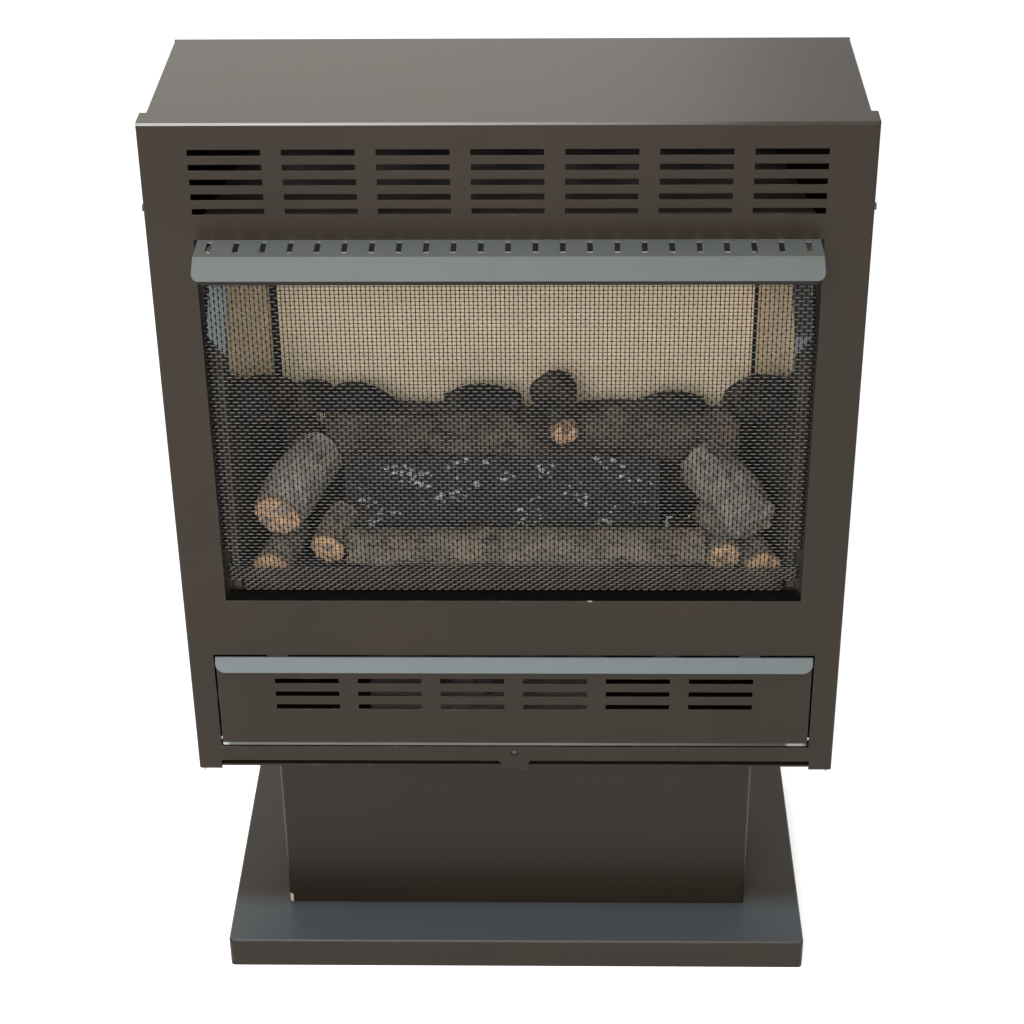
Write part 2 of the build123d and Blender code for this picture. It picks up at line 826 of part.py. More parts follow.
def screen_level(height):
    """The Z of a height on the wire screen, above the bottom of the surround."""
    return frame_z + height


def screen_outline():
    """The upright part of the screen, from its fold up."""
    fold, taper, top = screen_level(screen_fold), screen_level(screen_taper_start), screen_level(screen_top)
    half, notch = screen_half_width, screen_half_width - screen_notch_width
    right = [
        (notch, fold), (notch, fold + screen_notch_above / 2), (half, fold + screen_notch_above), (half, taper),
        (screen_top_half_width, top),
    ]
    return both_sides(right)


def mesh_screen():
    """Wire cloth: an upright sheet folded back at the bottom and turned back at its sides and top."""
    fold, taper, top = screen_level(screen_fold), screen_level(screen_taper_start), screen_level(screen_top)
    y0, y1 = deep(screen_depth), deep(screen_depth) + screen_sheet
    margin = screen_gap_margin
    reach = screen_top_half_width - margin
    pitch_x = 2 * reach / screen_gap_columns
    pitch_z = (top - fold - 2 * margin) / screen_gap_rows
    gaps = grille_windows(
        screen_gap_columns, screen_gap_rows, pitch_x, pitch_z, pitch_x - screen_gap_bar, pitch_z - screen_gap_bar,
        top - margin - pitch_z / 2)
    screen = sheet_xz(screen_outline(), y0, screen_sheet, gaps)
    half, top_half = screen_half_width, screen_top_half_width
    turned_back = [
        (half - screen_sheet, fold + screen_notch_above), (half, fold + screen_notch_above), (half, taper),
        (top_half, top), (top_half - screen_sheet, top), (half - screen_sheet, taper),
    ]
    side = sheet_xz(turned_back, y0, screen_return)
    screen += [side, mirrored(side)]
    hem = hanger_top_half_width - hanger_width - contact_gap
    screen += block(-hem, hem, y0, y1 + screen_hem, top - screen_sheet, top)
    return screen + screen_flange()


def screen_flange():
    """The foot of the screen, leaning back from the fold down to the hearth, with cut corners."""
    slope = hypot(screen_flange_run, screen_flange_drop)
    lean = Plane(
        origin=(0, deep(screen_depth), screen_level(screen_fold)), x_dir=(1, 0, 0),
        z_dir=(0, -screen_flange_drop, -screen_flange_run))
    shoulder = slope * screen_shoulder_drop / screen_flange_drop
    notch = slope * screen_notch_below / screen_flange_drop
    half, foot = screen_half_width, screen_flange_half_width
    right = [
        (half - screen_notch_width, 0), (half - screen_notch_width, -notch / 3), (half, -notch),
        (half, -shoulder), (foot + screen_gap_bar, -shoulder - screen_gap_bar), (foot, -slope),
    ]
    face = make_face(Polyline(*both_sides(right), close=True))
    pitch = 2 * (foot - screen_gap_margin) / screen_gap_columns
    height = slope - 2 * screen_gap_margin
    gaps = grille_windows(screen_gap_columns, 1, pitch, 0, pitch - screen_gap_bar, height, -slope / 2)
    face -= [Pos(x, y) * Rectangle(width, tall) for x, y, width, tall in gaps]
    return extrude(lean * face, -screen_sheet)


def screen_hanger_right():
    """A sloping strap behind the screen's edge, with a hook turned back at the top."""
    top = screen_level(screen_top + hanger_rise)
    outline = [
        (hanger_top_half_width - hanger_width, top), (hanger_top_half_width, top),
        (hanger_foot_half_width, screen_level(screen_top - hanger_outer_drop)),
        (hanger_foot_half_width - hanger_width, screen_level(screen_top - hanger_inner_drop)),
    ]
    y0 = deep(screen_depth) + screen_sheet
    strap = sheet_xz(outline, y0, hanger_sheet)
    inner = hanger_top_half_width - hanger_width
    return strap + block(inner, hanger_top_half_width, y0, y0 + hanger_hook, top - hanger_sheet, top)


# Firebox

def firebox_half_width(distance):
    """Half the firebox's width inside its sheet, at a depth behind the front face."""
    share = (distance - firebox_front) / (firebox_back - firebox_front)
    return firebox_front_half_width + share * (firebox_back_half_width - firebox_front_half_width)


def upright(points, z0, z1):
    """A plan outline raised from z0 to z1."""
    return Pos(0, 0, z0) * extrude(make_face(Polyline(*points, close=True)), z1 - z0)


def firebox_shell():
    """Sides and back of the firebox in one sheet, splayed towards the front, with flanges for the cabinet."""
    right = [
        (firebox_flange_half_width, deep(firebox_front)), (firebox_front_half_width, deep(firebox_front)),
        (firebox_back_half_width, deep(firebox_back)),
    ]
    outer = [
        (firebox_flange_half_width, deep(firebox_front) + shell_sheet),
        (firebox_front_half_width + shell_sheet, deep(firebox_front) + shell_sheet),
        (firebox_back_half_width + shell_sheet, deep(firebox_back) + shell_sheet),
    ]
    points = both_sides(right) + list(reversed(both_sides(outer)))
    return upright(points, floor_z - firebox_skirt, floor_z + firebox_roof_height)


def firebox_roof():
    """The plate over the firebox, short of the front so that the heat rises behind the top grille."""
    z = floor_z + firebox_roof_height
    right = [
        (firebox_half_width(roof_front) + shell_sheet, deep(roof_front)),
        (firebox_back_half_width + shell_sheet, deep(firebox_back) + shell_sheet),
    ]
    roof = upright(both_sides(right), z, z + shell_sheet)
    half = firebox_half_width(roof_front) - heavy_sheet
    return roof + block(-half, half, deep(roof_front), deep(roof_front) + shell_sheet, z - hood_back_rise, z)


def firebox_floor():
    """The plate under the logs, below the hearth edge, with holes for the burner, pilot and spark leads."""
    gap = contact_gap
    right = [
        (firebox_front_half_width, deep(front_sheet + gap)),
        (firebox_front_half_width - gap, deep(firebox_front)),
        (firebox_back_half_width - gap, deep(firebox_back) - gap),
    ]
    plate = upright(both_sides(right), floor_z - shell_sheet, floor_z)
    low, high = floor_z - 2 * shell_sheet, floor_z + shell_sheet
    plate -= rod_z(riser_x, deep(riser_depth), low, high, riser_diameter + 2 * gap)
    for x, depth, diameter in pilot_lines():
        plate -= rod_z(x, deep(depth), low, high, diameter + 2 * gap, tube_sides)
    return plate


def back_liner():
    """The pale board behind the fire, set a little to the right."""
    half = back_liner_width / 2
    y = deep(firebox_back) - contact_gap
    z = floor_z + contact_gap
    return block(back_liner_shift - half, back_liner_shift + half, y - liner_thickness, y, z, z + liner_height)


def right_liner():
    """The pale board along the right wall of the firebox."""
    rear = firebox_back - 2 * contact_gap - liner_thickness
    lean = cos(atan2(firebox_front_half_width - firebox_back_half_width, firebox_back - firebox_front))
    outside, inside = contact_gap / lean, (contact_gap + liner_thickness) / lean
    points = [
        (firebox_half_width(liner_front) - inside, deep(liner_front)),
        (firebox_half_width(liner_front) - outside, deep(liner_front)),
        (firebox_half_width(rear) - outside, deep(rear)), (firebox_half_width(rear) - inside, deep(rear)),
    ]
    return upright(points, floor_z + contact_gap, floor_z + contact_gap + liner_height)


# Fire

def above_floor(height):
    """The Z of a height above the firebox floor."""
    return floor_z + height


def log_grate():
    """Short bars on two rails with feet, under the front logs."""
    top = above_floor(grate_height)
    bar, half = grate_bar, grate_half_length
    rails = [deep(grate_front) + bar, deep(grate_back) - 2 * bar]
    grate = Part()
    for y in rails:
        grate += block(-half, half, y, y + bar, top - 2 * bar, top - bar)
        for index in range(grate_feet):
            x = (index / (grate_feet - 1) - 0.5) * (2 * half - bar) - bar / 2
            grate += block(x, x + bar, y, y + bar, above_floor(contact_gap), top - 2 * bar)
    for index in range(grate_bars):
        x = (index / (grate_bars - 1) - 0.5) * (2 * half - bar)
        grate += block(x - bar / 2, x + bar / 2, deep(grate_front), deep(grate_back), top - bar, top)
    return grate


def rear_log_brackets(rear):
    """Two footed saddles, cut to the rear log that they carry behind the burner."""
    base = above_floor(contact_gap)
    y0, y1 = deep(saddle_front), deep(saddle_back)
    _, _, height, _ = rear_log_line[2]
    plate = block(saddle_x - saddle_sheet, saddle_x, y0, y1, base, above_floor(height))
    foot = block(saddle_x, saddle_x + saddle_foot, y0, y1, base, base + saddle_sheet)
    right = plate + foot
    return Compound(children=[largest(right - rear), largest(mirrored(right) - rear)])


def burner_pan():
    """The pressed burner: a closed box with two rows of slotted ports, over the riser."""
    half = burner_width / 2
    y0, y1 = deep(burner_front), deep(burner_front) + burner_depth
    z0, z1 = above_floor(contact_gap), above_floor(contact_gap) + burner_height
    pan = block(-half, half, y0, y1, z0, z1)
    pan = chamfer(pan.edges().filter_by(Axis.Z) + pan.faces().sort_by(Axis.Z)[-1].edges(), burner_edge)
    wall = shell_sheet
    hollow = block(wall - half, half - wall, y0 + wall, y1 - wall, z0 + wall, z1 - wall)
    inner_edges = hollow.edges().filter_by(Axis.Z) + hollow.faces().sort_by(Axis.Z)[-1].edges()
    pan -= chamfer(inner_edges, burner_edge - (2 - sqrt(2)) * wall)
    holes = [rod_z(riser_x, deep(riser_depth), z0 - cut_overrun, z0 + 2 * wall, riser_diameter - 2 * heavy_sheet)]
    pitch = (burner_width - 2 * burner_end_margin - burner_port_length) / (burner_port_columns - 1)
    ports = grille_windows(
        burner_port_columns, 2, pitch, burner_port_row_gap, burner_port_length, burner_port_width,
        (y0 + y1 + burner_port_row_gap) / 2)
    for x, y, length, width in ports:
        holes.append(block(
            x - length / 2, x + length / 2, y - width / 2, y + width / 2, z1 - 2 * wall, z1 + cut_overrun))
    return pan - holes


def venturi_z():
    """The height of the mixing tube's axis."""
    return floor_z - venturi_drop


def burner_venturi():
    """The mixing tube under the floor: an open-sided mixer, a cone and an elbow up to the burner."""
    y, z = deep(riser_depth), venturi_z()
    start = riser_x - venturi_length + mixer_length
    elbow = tube_along(
        ((start, y, z), (riser_x, y, z), (riser_x, y, above_floor(contact_gap))), tube_bend, riser_diameter)
    wide, narrow, wall = mixer_diameter / 2, riser_diameter / 2, heavy_sheet
    mouth = start - mixer_length
    outside = mixer_loft(((mouth, wide), (mouth + mixer_straight, wide), (start, narrow)))
    hollow = mixer_loft(
        ((mouth + wall, wide - wall), (mouth + mixer_straight, wide - wall), (start, narrow - wall)))
    x0 = mouth + (mixer_straight + wall - mixer_window_length) / 2
    reach = mixer_window_width / 2
    window = block(x0, x0 + mixer_window_length, y - mixer_diameter, y + mixer_diameter, z - reach, z + reach)
    hole = rod_x(y, z, mouth - cut_overrun, mouth + 2 * wall, tube_diameter + 2 * contact_gap)
    return elbow + (outside - [hollow, window, hole])


def mixer_loft(stations):
    """A faceted cone along the mixing tube, through (x, radius) stations."""
    y, z = deep(riser_depth), venturi_z()
    return flat_sided([
        ring_points(Plane(origin=(x, y, z), x_dir=(0, 1, 0), z_dir=(1, 0, 0)), [radius] * tube_sides)
        for x, radius in stations
    ])


def ember_bed():
    """The ceramic bed between the front and rear logs, with a lumpy slope."""
    base = above_floor(contact_gap + burner_height + contact_gap)
    front = deep(ember_front)
    slope = [
        (front, ember_front_height), (front + ember_ledge, (ember_front_height + ember_middle_height) / 2),
        (front + ember_shelf, ember_middle_height), (deep(ember_back), ember_back_height),
    ]
    rings = []
    for index in range(ember_stations):
        x = ember_shift + (index / (ember_stations - 1) - 0.5) * ember_width
        lump = ember_roughness * sin(2.1 * index)
        top = [Vector(x, y, above_floor(height + lump)) for y, height in slope]
        rings.append([Vector(x, front, base), *top, Vector(x, deep(ember_back), base)])
    return flat_sided(rings)


def log(line, seed):
    """A ceramic log, flat-sided through rough rings that are all square to the line from end to end."""
    spread = firebox_front_half_width / log_set_half_width
    places = [Vector(spread * x, deep(depth), above_floor(height)) for x, depth, height, _ in line]
    ahead = places[-1] - places[0]
    rough = [1 + log_roughness * sin(2.3 * side + seed) for side in range(log_sides)]
    rings = []
    for place, (*_, radius) in zip(places, line):
        square = Plane(origin=place, z_dir=ahead, x_dir=ahead.cross(Vector(0, 0, 1)))
        rings.append(ring_points(square, [radius * share for share in rough]))
    return flat_sided(rings)


def largest(shape):
    """The biggest solid of a cut piece."""
    return shape.solids().sort_by(SortBy.VOLUME)[-1]


def fire_set():
    """Every log, each later one cut where it lies on an earlier one, so that they seat without overlap."""
    half = cabinet_width / 2
    floor = block(-half, half, deep(0), deep(firebox_back), pan_z, above_floor(contact_gap))
    grate = log_grate()
    board, liner = back_liner(), right_liner()
    rear = log(rear_log_line, 0.4) - board
    left = log(left_log_line, 2.0) - [rear, mirrored(liner)]
    right = log(right_log_line, 2.7) - [rear, liner]
    front = log(front_log_line, 1.1) - [grate, left, right]
    left_front = log(left_front_log_line, 0.2) - [grate, left, front]
    right_front = log(right_front_log_line, 1.4) - [grate, right, front]
    left_low = log(left_low_log_line, 2.2) - [floor, left_front, grate]
    right_low = log(right_low_log_line, 0.9) - [floor, right_front, grate]
    left_rear = log(left_rear_log_line, 1.7) - [left, rear, mirrored(liner), board]
    right_rear = log(right_rear_log_line, 0.7) - [right, rear, liner, board]
    centre = log(centre_log_line, 2.5) - [rear, board]
    bed = ember_bed() - [front, rear, centre, left, right, left_front, right_front]
    pieces = {
        "front_log": front, "rear_log": rear, "left_log": left, "right_log": right, "centre_log": centre,
        "left_rear_log": left_rear, "right_rear_log": right_rear, "left_front_log": left_front,
        "right_front_log": right_front, "left_low_log": left_low, "right_low_log": right_low,
        "left_char_log": log(left_char_log_line, 1.0) - [rear, left, left_rear],
        "middle_char_log": log(middle_char_log_line, 2.1) - [rear, centre],
        "right_char_log": log(right_char_log_line, 0.3) - [rear, right],
        "ember_bed": bed, "log_grate": grate,
    }
    logs = {name: largest(piece) for name, piece in pieces.items()}
    logs["rear_log_brackets"] = rear_log_brackets(rear)
    return logs


# Pilot

def pilot_lines():
    """X, depth and diameter of the pilot tube, the thermocouple and the electrode where they rise."""
    rear = pilot_depth + pilot_set_back
    return [
        (pilot_x, pilot_depth, pilot_tube_diameter),
        (pilot_x + pilot_spacing, rear, thermocouple_diameter),
        (pilot_x - pilot_spacing, rear, electrode_diameter),
    ]


def pilot_bracket():
    """The bent plate that holds the pilot: a foot turned back, and a shelf pierced for its three rods."""
    half = pilot_spacing + electrode_diameter
    x0, x1 = pilot_x - half, pilot_x + half
    y0 = deep(pilot_depth) - pilot_bracket_front_margin
    y1 = deep(pilot_depth + pilot_set_back) + pilot_bracket_back_margin
    base, shelf = above_floor(contact_gap), above_floor(pilot_shelf_height)
    bracket = block(x0, x1, y1 - pilot_sheet, y1, base, base + pilot_bracket_height)
    bracket += block(x0, x1, y1, y1 + pilot_foot, base, base + pilot_sheet)
    bracket += block(x0, x1, y0, y1, shelf, shelf + pilot_sheet)
    for x, depth, diameter in pilot_lines():
        wide = max(diameter, pilot_burner_diameter) if x == pilot_x else diameter
        bracket -= rod_z(
            x, deep(depth), shelf - cut_overrun, shelf + pilot_sheet + cut_overrun, wide + 2 * contact_gap,
            tube_sides)
    return bracket


def pilot_burner():
    """The pilot: a brass tube with a hex seat on the shelf and a hooded end with three flame slots."""
    x, y = pilot_x, deep(pilot_depth)
    low, top = above_floor(pilot_shelf_height) - pilot_tail, above_floor(pilot_burner_height)
    seat = above_floor(pilot_shelf_height) + pilot_sheet
    burner = rod_z(x, y, low, top, pilot_burner_diameter, tube_sides)
    burner += hexagon_z(x, y, seat, seat + pilot_nut_height, pilot_nut)
    for turn in flame_slots:
        slot = Box(pilot_burner_diameter + 2 * cut_overrun, flame_slot_width, flame_slot_height)
        burner -= Pos(x, y, top - flame_slot_below_top) * Rot(0, 0, turn) * slot
    inside = pilot_burner_diameter - 2 * pilot_wall
    return burner - rod_z(x, y, top - pilot_tail, top - pilot_wall, inside, tube_sides)


def thermocouple():
    """The heat sensor beside the pilot, with its lead down to the valve."""
    x, depth, diameter = pilot_lines()[1]
    y = deep(depth)
    low = floor_z - rod_end_below_floor
    rod = rod_z(x, y, low, above_floor(thermocouple_height), diameter, tube_sides)
    rod = chamfer(rod.faces().sort_by(Axis.Z)[-1].edges(), diameter / 3)
    seat = above_floor(pilot_shelf_height) + pilot_sheet
    rod += hexagon_z(x, y, seat, seat + pilot_nut_height, diameter + 2 * pilot_wall)
    run = cabinet_z + lead_rise
    lead = tube_along(
        ((x, y, low), (x, y, run), (lead_x, y, run), (lead_x, y, valve_top() + valve_boss_length)), wire_bend,
        thermocouple_lead_diameter)
    return rod + lead


def igniter_electrode():
    """A ceramic rod beside the pilot, with a bent wire tip."""
    x, depth, diameter = pilot_lines()[2]
    y = deep(depth)
    low, top = floor_z - rod_end_below_floor, above_floor(electrode_height)
    electrode = rod_z(x, y, low, top, diameter)
    tip, end = electrode_tip_diameter, top + electrode_tip_rise
    electrode += rod_z(x, y, top, end, tip, fastener_sides)
    return electrode + rod_x(y, end - tip / 2, x, x + electrode_tip_reach, tip, fastener_sides)


# Controls

def valve_top():
    """The height of the top of the gas valve."""
    return cabinet_z + valve_bottom + valve_height


def control_bracket():
    """The upright plate that carries the valve and the igniter, on a foot that stands on the pan."""
    y = deep(control_depth)
    foot = cabinet_z + contact_gap
    plate = block(control_left, control_right, y, y + control_sheet, foot, foot + control_height)
    plate = chamfer(plate.edges().filter_by(Axis.Y).group_by(Axis.Z)[-1], control_corner)
    plate += block(control_left, control_right, y, y + control_foot, foot, foot + control_sheet)
    near, far = y - cut_overrun, y + control_sheet + cut_overrun
    for x in (gas_knob_x, flame_knob_x):
        plate -= rod_y(x, cabinet_z + stem_height, near, far, stem_hole_diameter)
    return plate - rod_y(igniter_x, cabinet_z + igniter_height, near, far, igniter_diameter + 2 * contact_gap)


def gas_valve():
    """The valve block behind the plate, with its outlets, the bore for the stem and the fixed flame shaft."""
    y0, y1 = deep(control_depth) + control_sheet, deep(control_depth) + control_sheet + valve_depth
    z0, z1 = cabinet_z + valve_bottom, valve_top()
    z = cabinet_z + stem_height
    valve = block(valve_left, valve_right, y0, y1, z0, z1)
    valve = chamfer(valve.edges().filter_by(Axis.Z), valve_corner)
    valve += block(
        valve_left + valve_cover_inset_x, valve_right - valve_cover_inset_x, y1, y1 + valve_cover,
        z0 + valve_cover_inset_z, z1 - valve_cover_inset_z)
    boss, top_boss, out = valve_boss_diameter, valve_top_boss_diameter, valve_boss_length
    valve += rod_x(deep(riser_depth), cabinet_z + supply_height, valve_left - out, valve_left, boss, nut_sides)
    valve += rod_z(pilot_tube_x, deep(pilot_depth), z1, z1 + out, top_boss, nut_sides)
    valve += rod_z(lead_x, deep(pilot_depth + pilot_set_back), z1, z1 + out, top_boss, nut_sides)
    valve += rod_y(valve_port_x, cabinet_z + inlet_height, y1, y1 + 2 * out, boss, nut_sides)
    valve += rod_y(flame_knob_x, z, deep(knob_front + knob_length) - stem_grip, y0, stem_diameter)
    bore = stem_front() + stem_length() + stem_travel + cut_overrun
    return valve - rod_y(gas_knob_x, z, y0 - cut_overrun, bore, stem_diameter + 2 * running_clearance)


def stem_front():
    """The Y of the stem's nose, inside the gas knob."""
    return deep(knob_front + knob_length) - stem_grip


def stem_length():
    """From the nose in the knob to a seat inside the valve."""
    return control_depth + control_sheet + stem_seat_depth - (knob_front + knob_length - stem_grip)


def valve_stem():
    """The stem that is pushed to start the pilot, with a retaining collar behind the knob."""
    z = cabinet_z + stem_height
    y0 = stem_front()
    stem = rod_y(gas_knob_x, z, y0, y0 + stem_length(), stem_diameter)
    collar = deep(knob_front + knob_length) + contact_gap
    return stem + rod_y(gas_knob_x, z, collar, collar + stem_collar, stem_collar_diameter)


def knob(x):
    """A control knob: a skirt, a drum and a finger bar, bored from behind for its shaft."""
    z = cabinet_z + stem_height
    y0, y1 = deep(knob_front), deep(knob_front + knob_length)
    body = rod_y(x, z, y1 - knob_skirt, y1, knob_skirt_diameter, round_sides)
    body = chamfer(body.faces().sort_by(Axis.Y)[0].edges(), knob_skirt / 3)
    drum = rod_y(x, z, y0 + knob_skirt, y1 - knob_skirt, knob_grip_diameter, round_sides)
    half = knob_skirt_diameter / 2 - knob_bar_inset
    bar = block(x - knob_grip_bar / 2, x + knob_grip_bar / 2, y0, y1 - knob_skirt, z - half, z + half)
    bar = chamfer(bar.edges().filter_by(Axis.Y), knob_grip_bar / 4)
    bore = rod_y(x, z, y1 - stem_grip, y1 + cut_overrun, stem_diameter + 2 * running_clearance)
    return body + drum + bar - bore


def igniter_body():
    """The igniter's barrel: a flange before the plate, a nut behind it, and the bore for the button."""
    x, z = igniter_x, cabinet_z + igniter_height
    y0, plate = deep(igniter_front), deep(control_depth)
    body = rod_y(x, z, y0, y0 + igniter_length, igniter_diameter, round_sides)
    body += rod_y(x, z, plate - igniter_flange, plate, igniter_flange_diameter, round_sides)
    back = plate + control_sheet
    body += hexagon_y(x, z, back, back + igniter_nut, igniter_flange_diameter)
    bore = igniter_button_diameter + 2 * running_clearance
    return body - rod_y(x, z, y0 - cut_overrun, y0 + igniter_bore_depth, bore)


def igniter_button():
    """The button, with its rim broken."""
    x, z = igniter_x, cabinet_z + igniter_height
    y0 = deep(igniter_button_front)
    button = rod_y(x, z, y0, y0 + igniter_button_length, igniter_button_diameter)
    return chamfer(button.faces().sort_by(Axis.Y)[0].edges(), igniter_button_chamfer)


def igniter_spring():
    """The spring between the button and the bottom of its bore."""
    x, z = igniter_x, cabinet_z + igniter_height
    y0 = deep(igniter_button_front) + igniter_button_length
    y1 = deep(igniter_front) + igniter_bore_depth
    height = y1 - y0 - spring_wire
    radius = (spring_diameter - spring_wire) / 2
    rise = height / (2 * pi * spring_turns)
    rings = []
    for step in range(spring_turns * spring_steps + 1):
        turn = 2 * pi * step / spring_steps
        place = Plane(
            origin=(radius * cos(turn), radius * sin(turn), rise * turn), x_dir=(cos(turn), sin(turn), 0),
            z_dir=(-radius * sin(turn), radius * cos(turn), rise))
        rings.append(flat_ring(place, [spring_wire / 2] * spring_sides))
    return Pos(x, y0 + spring_wire / 2, z) * Rot(-90, 0, 0) * ruled_loft(rings)


def igniter_wire():
    """The insulated lead from the igniter to the electrode."""
    x, depth, _ = pilot_lines()[2]
    start, z = deep(igniter_front) + igniter_length, cabinet_z + igniter_height
    run = cabinet_z + wire_rise
    points = (
        (igniter_x, start, z), (igniter_x, deep(wire_depth), z), (igniter_x, deep(wire_depth), run),
        (x, deep(wire_depth), run), (x, deep(depth), run), (x, deep(depth), floor_z - rod_end_below_floor),
    )
    return tube_along(points, wire_bend, wire_diameter)


def regulator():
    """The pressure regulator: a square body with a round diaphragm case, a cap and two bosses."""
    x, y, z = regulator_x, deep(regulator_depth), cabinet_z + inlet_height
    half, low = regulator_body / 2, z - regulator_block_height / 2
    case = low + regulator_block_height
    dome = case + regulator_case_height
    cap = dome + regulator_dome_height
    body = block(x - half, x + half, y - half, y + half, low, case)
    body = chamfer(body.edges().filter_by(Axis.Z), regulator_corner)
    body += rod_z(x, y, case, dome, regulator_diameter, round_sides)
    top = rod_z(x, y, dome, cap, regulator_dome_diameter, round_sides)
    body += chamfer(top.faces().sort_by(Axis.Z)[-1].edges(), regulator_corner)
    body += hexagon_z(x, y, cap, cap + regulator_cap_height, regulator_cap)
    for side in (-1, 1):
        near, far = sorted((x + side * half, x + side * (half + regulator_boss_length)))
        body += rod_x(y, z, near, far, valve_boss_diameter, nut_sides)
    return body


def gas_inlet_fitting():
    """The brass inlet: a hex inside the back panel and a threaded end outside it."""
    x, z = inlet_x, cabinet_z + inlet_height
    back = deep(cabinet_depth)
    inner = back - shell_sheet
    fitting = hexagon_y(x, z, inner - inlet_hex_length, inner, inlet_hex)
    fitting += rod_y(x, z, inner, back + inlet_reach, inlet_thread_diameter)
    fitting += hexagon_y(x, z, back, back + inlet_locknut, inlet_hex)
    return fitting - rod_y(x, z, inner, back + inlet_reach + cut_overrun, inlet_bore_diameter)


def gas_tubes():
    """The supply from the inlet to the regulator, on to the valve and the burner, and the pilot tube."""
    inlet_y = deep(cabinet_depth) - shell_sheet - inlet_hex_length
    z = cabinet_z + inlet_height
    y = deep(regulator_depth)
    reach = regulator_body / 2 + regulator_boss_length
    first = tube_along(
        ((inlet_x, inlet_y, z), (inlet_x, y, z), (regulator_x + reach, y, z)), tube_bend, tube_diameter)
    valve_back = deep(control_depth) + control_sheet + valve_depth + 2 * valve_boss_length
    second = tube_along(
        ((regulator_x - reach, y, z), (valve_port_x, y, z), (valve_port_x, valve_back, z)), tube_bend,
        tube_diameter)
    riser_y, low = deep(riser_depth), cabinet_z + supply_height
    mouth = riser_x - venturi_length
    third = tube_along(
        ((valve_left - valve_boss_length, riser_y, low), (supply_x, riser_y, low),
         (supply_x, riser_y, venturi_z()), (mouth + 2 * heavy_sheet, riser_y, venturi_z())),
        tube_bend, tube_diameter)
    pilot_y, rise = deep(pilot_depth), cabinet_z + pilot_tube_rise
    fourth = tube_along(
        ((pilot_tube_x, pilot_y, valve_top() + valve_boss_length), (pilot_tube_x, pilot_y, rise),
         (pilot_x, pilot_y, rise), (pilot_x, pilot_y, above_floor(pilot_shelf_height) - pilot_tail)),
        pilot_tube_bend, pilot_tube_diameter)
    return Compound(children=[tube.solid() for tube in (first, second, third, fourth)])


# Control door

def door_bottom():
    """The height of the door's lower edge."""
    return door_z0 + door_gap_below


def door_half_width():
    """Half the width of the door."""
    return door_opening_width / 2 - door_gap_side


def pin_z():
    """The height of the studs that the door turns on."""
    return door_z0 + door_pin_rise


def control_door():
    """The drop-down door: slots, a lip folded forward and down, side flanges and ears for its studs."""
    bottom, fold = door_bottom(), door_z1 - door_gap_above - door_sheet
    half = door_half_width()
    path = ((deep(0), bottom), (deep(0), fold), (deep(-door_lip_run), fold - door_lip_drop))
    door = along_x(bent_sheet(path, door_sheet, 0, Side.RIGHT), -half, half)
    door = fillet(lip_corners(door, half), door_lip_corner)
    slots = grille_windows(
        door_grille_columns, door_grille_rows, door_grille_pitch_x, door_grille_pitch_z, door_slot_width,
        door_slot_height, door_z1 - door_gap_above - door_grille_first_below_top)
    for x, z, width, height in slots:
        door -= block(
            x - width / 2, x + width / 2, front_y - cut_overrun, deep(door_sheet) + cut_overrun, z - height / 2,
            z + height / 2)
    ear_top = bottom + door_ear_height
    flange = deep(door_sheet + door_side_flange)
    for x0, x1 in ((-half, door_sheet - half), (half - door_sheet, half)):
        door += block(x0, x1, deep(door_sheet), flange, ear_top, fold - door_lip_drop)
        door += block(x0, x1, deep(door_sheet), deep(door_ear_depth), bottom, ear_top)
    hole = door_pin_diameter + 2 * running_clearance
    return door - rod_x(deep(door_pin_depth), pin_z(), -half - cut_overrun, half + cut_overrun, hole)


def door_hinges():
    """On each side a folded bracket behind the stile, with the stud that the door turns on."""
    inner = door_opening_width / 2 + contact_gap
    z0, z1 = pin_z() - hinge_height / 2, pin_z() + hinge_height / 2
    bracket = block(inner, inner + door_sheet, deep(front_sheet), deep(door_ear_depth), z0, z1)
    bracket += block(inner, inner + hinge_flange, deep(front_sheet), deep(front_sheet) + door_sheet, z0, z1)
    stud_end = door_half_width() - 2 * door_sheet
    bracket += rod_x(deep(door_pin_depth), pin_z(), stud_end, inner, door_pin_diameter)
    return Compound(children=[bracket.solid(), mirrored(bracket).solid()])


def door_magnets():
    """Two magnets behind the top of the door, on plates fixed above the opening."""
    x0, x1 = magnet_x - magnet_width / 2, magnet_x + magnet_width / 2
    front, plate = deep(front_sheet), deep(front_sheet) + shell_sheet
    face = deep(door_sheet) + contact_gap
    back = face + magnet_depth
    low, high = door_z1 - magnet_reach - magnet_plate_rise, door_z1 - magnet_overlap
    magnet = block(x0, x1, face, back, low, high)
    magnet += block(x0, x1, plate, back, high - magnet_overlap, door_z1 + magnet_reach / 2)
    high = door_z1 + magnet_reach + magnet_plate_rise
    magnet += block(x0, x1, front, plate, door_z1 + magnet_overlap / 2, high)
    return Compound(children=[magnet.solid(), mirrored(magnet).solid()])


# The whole stove

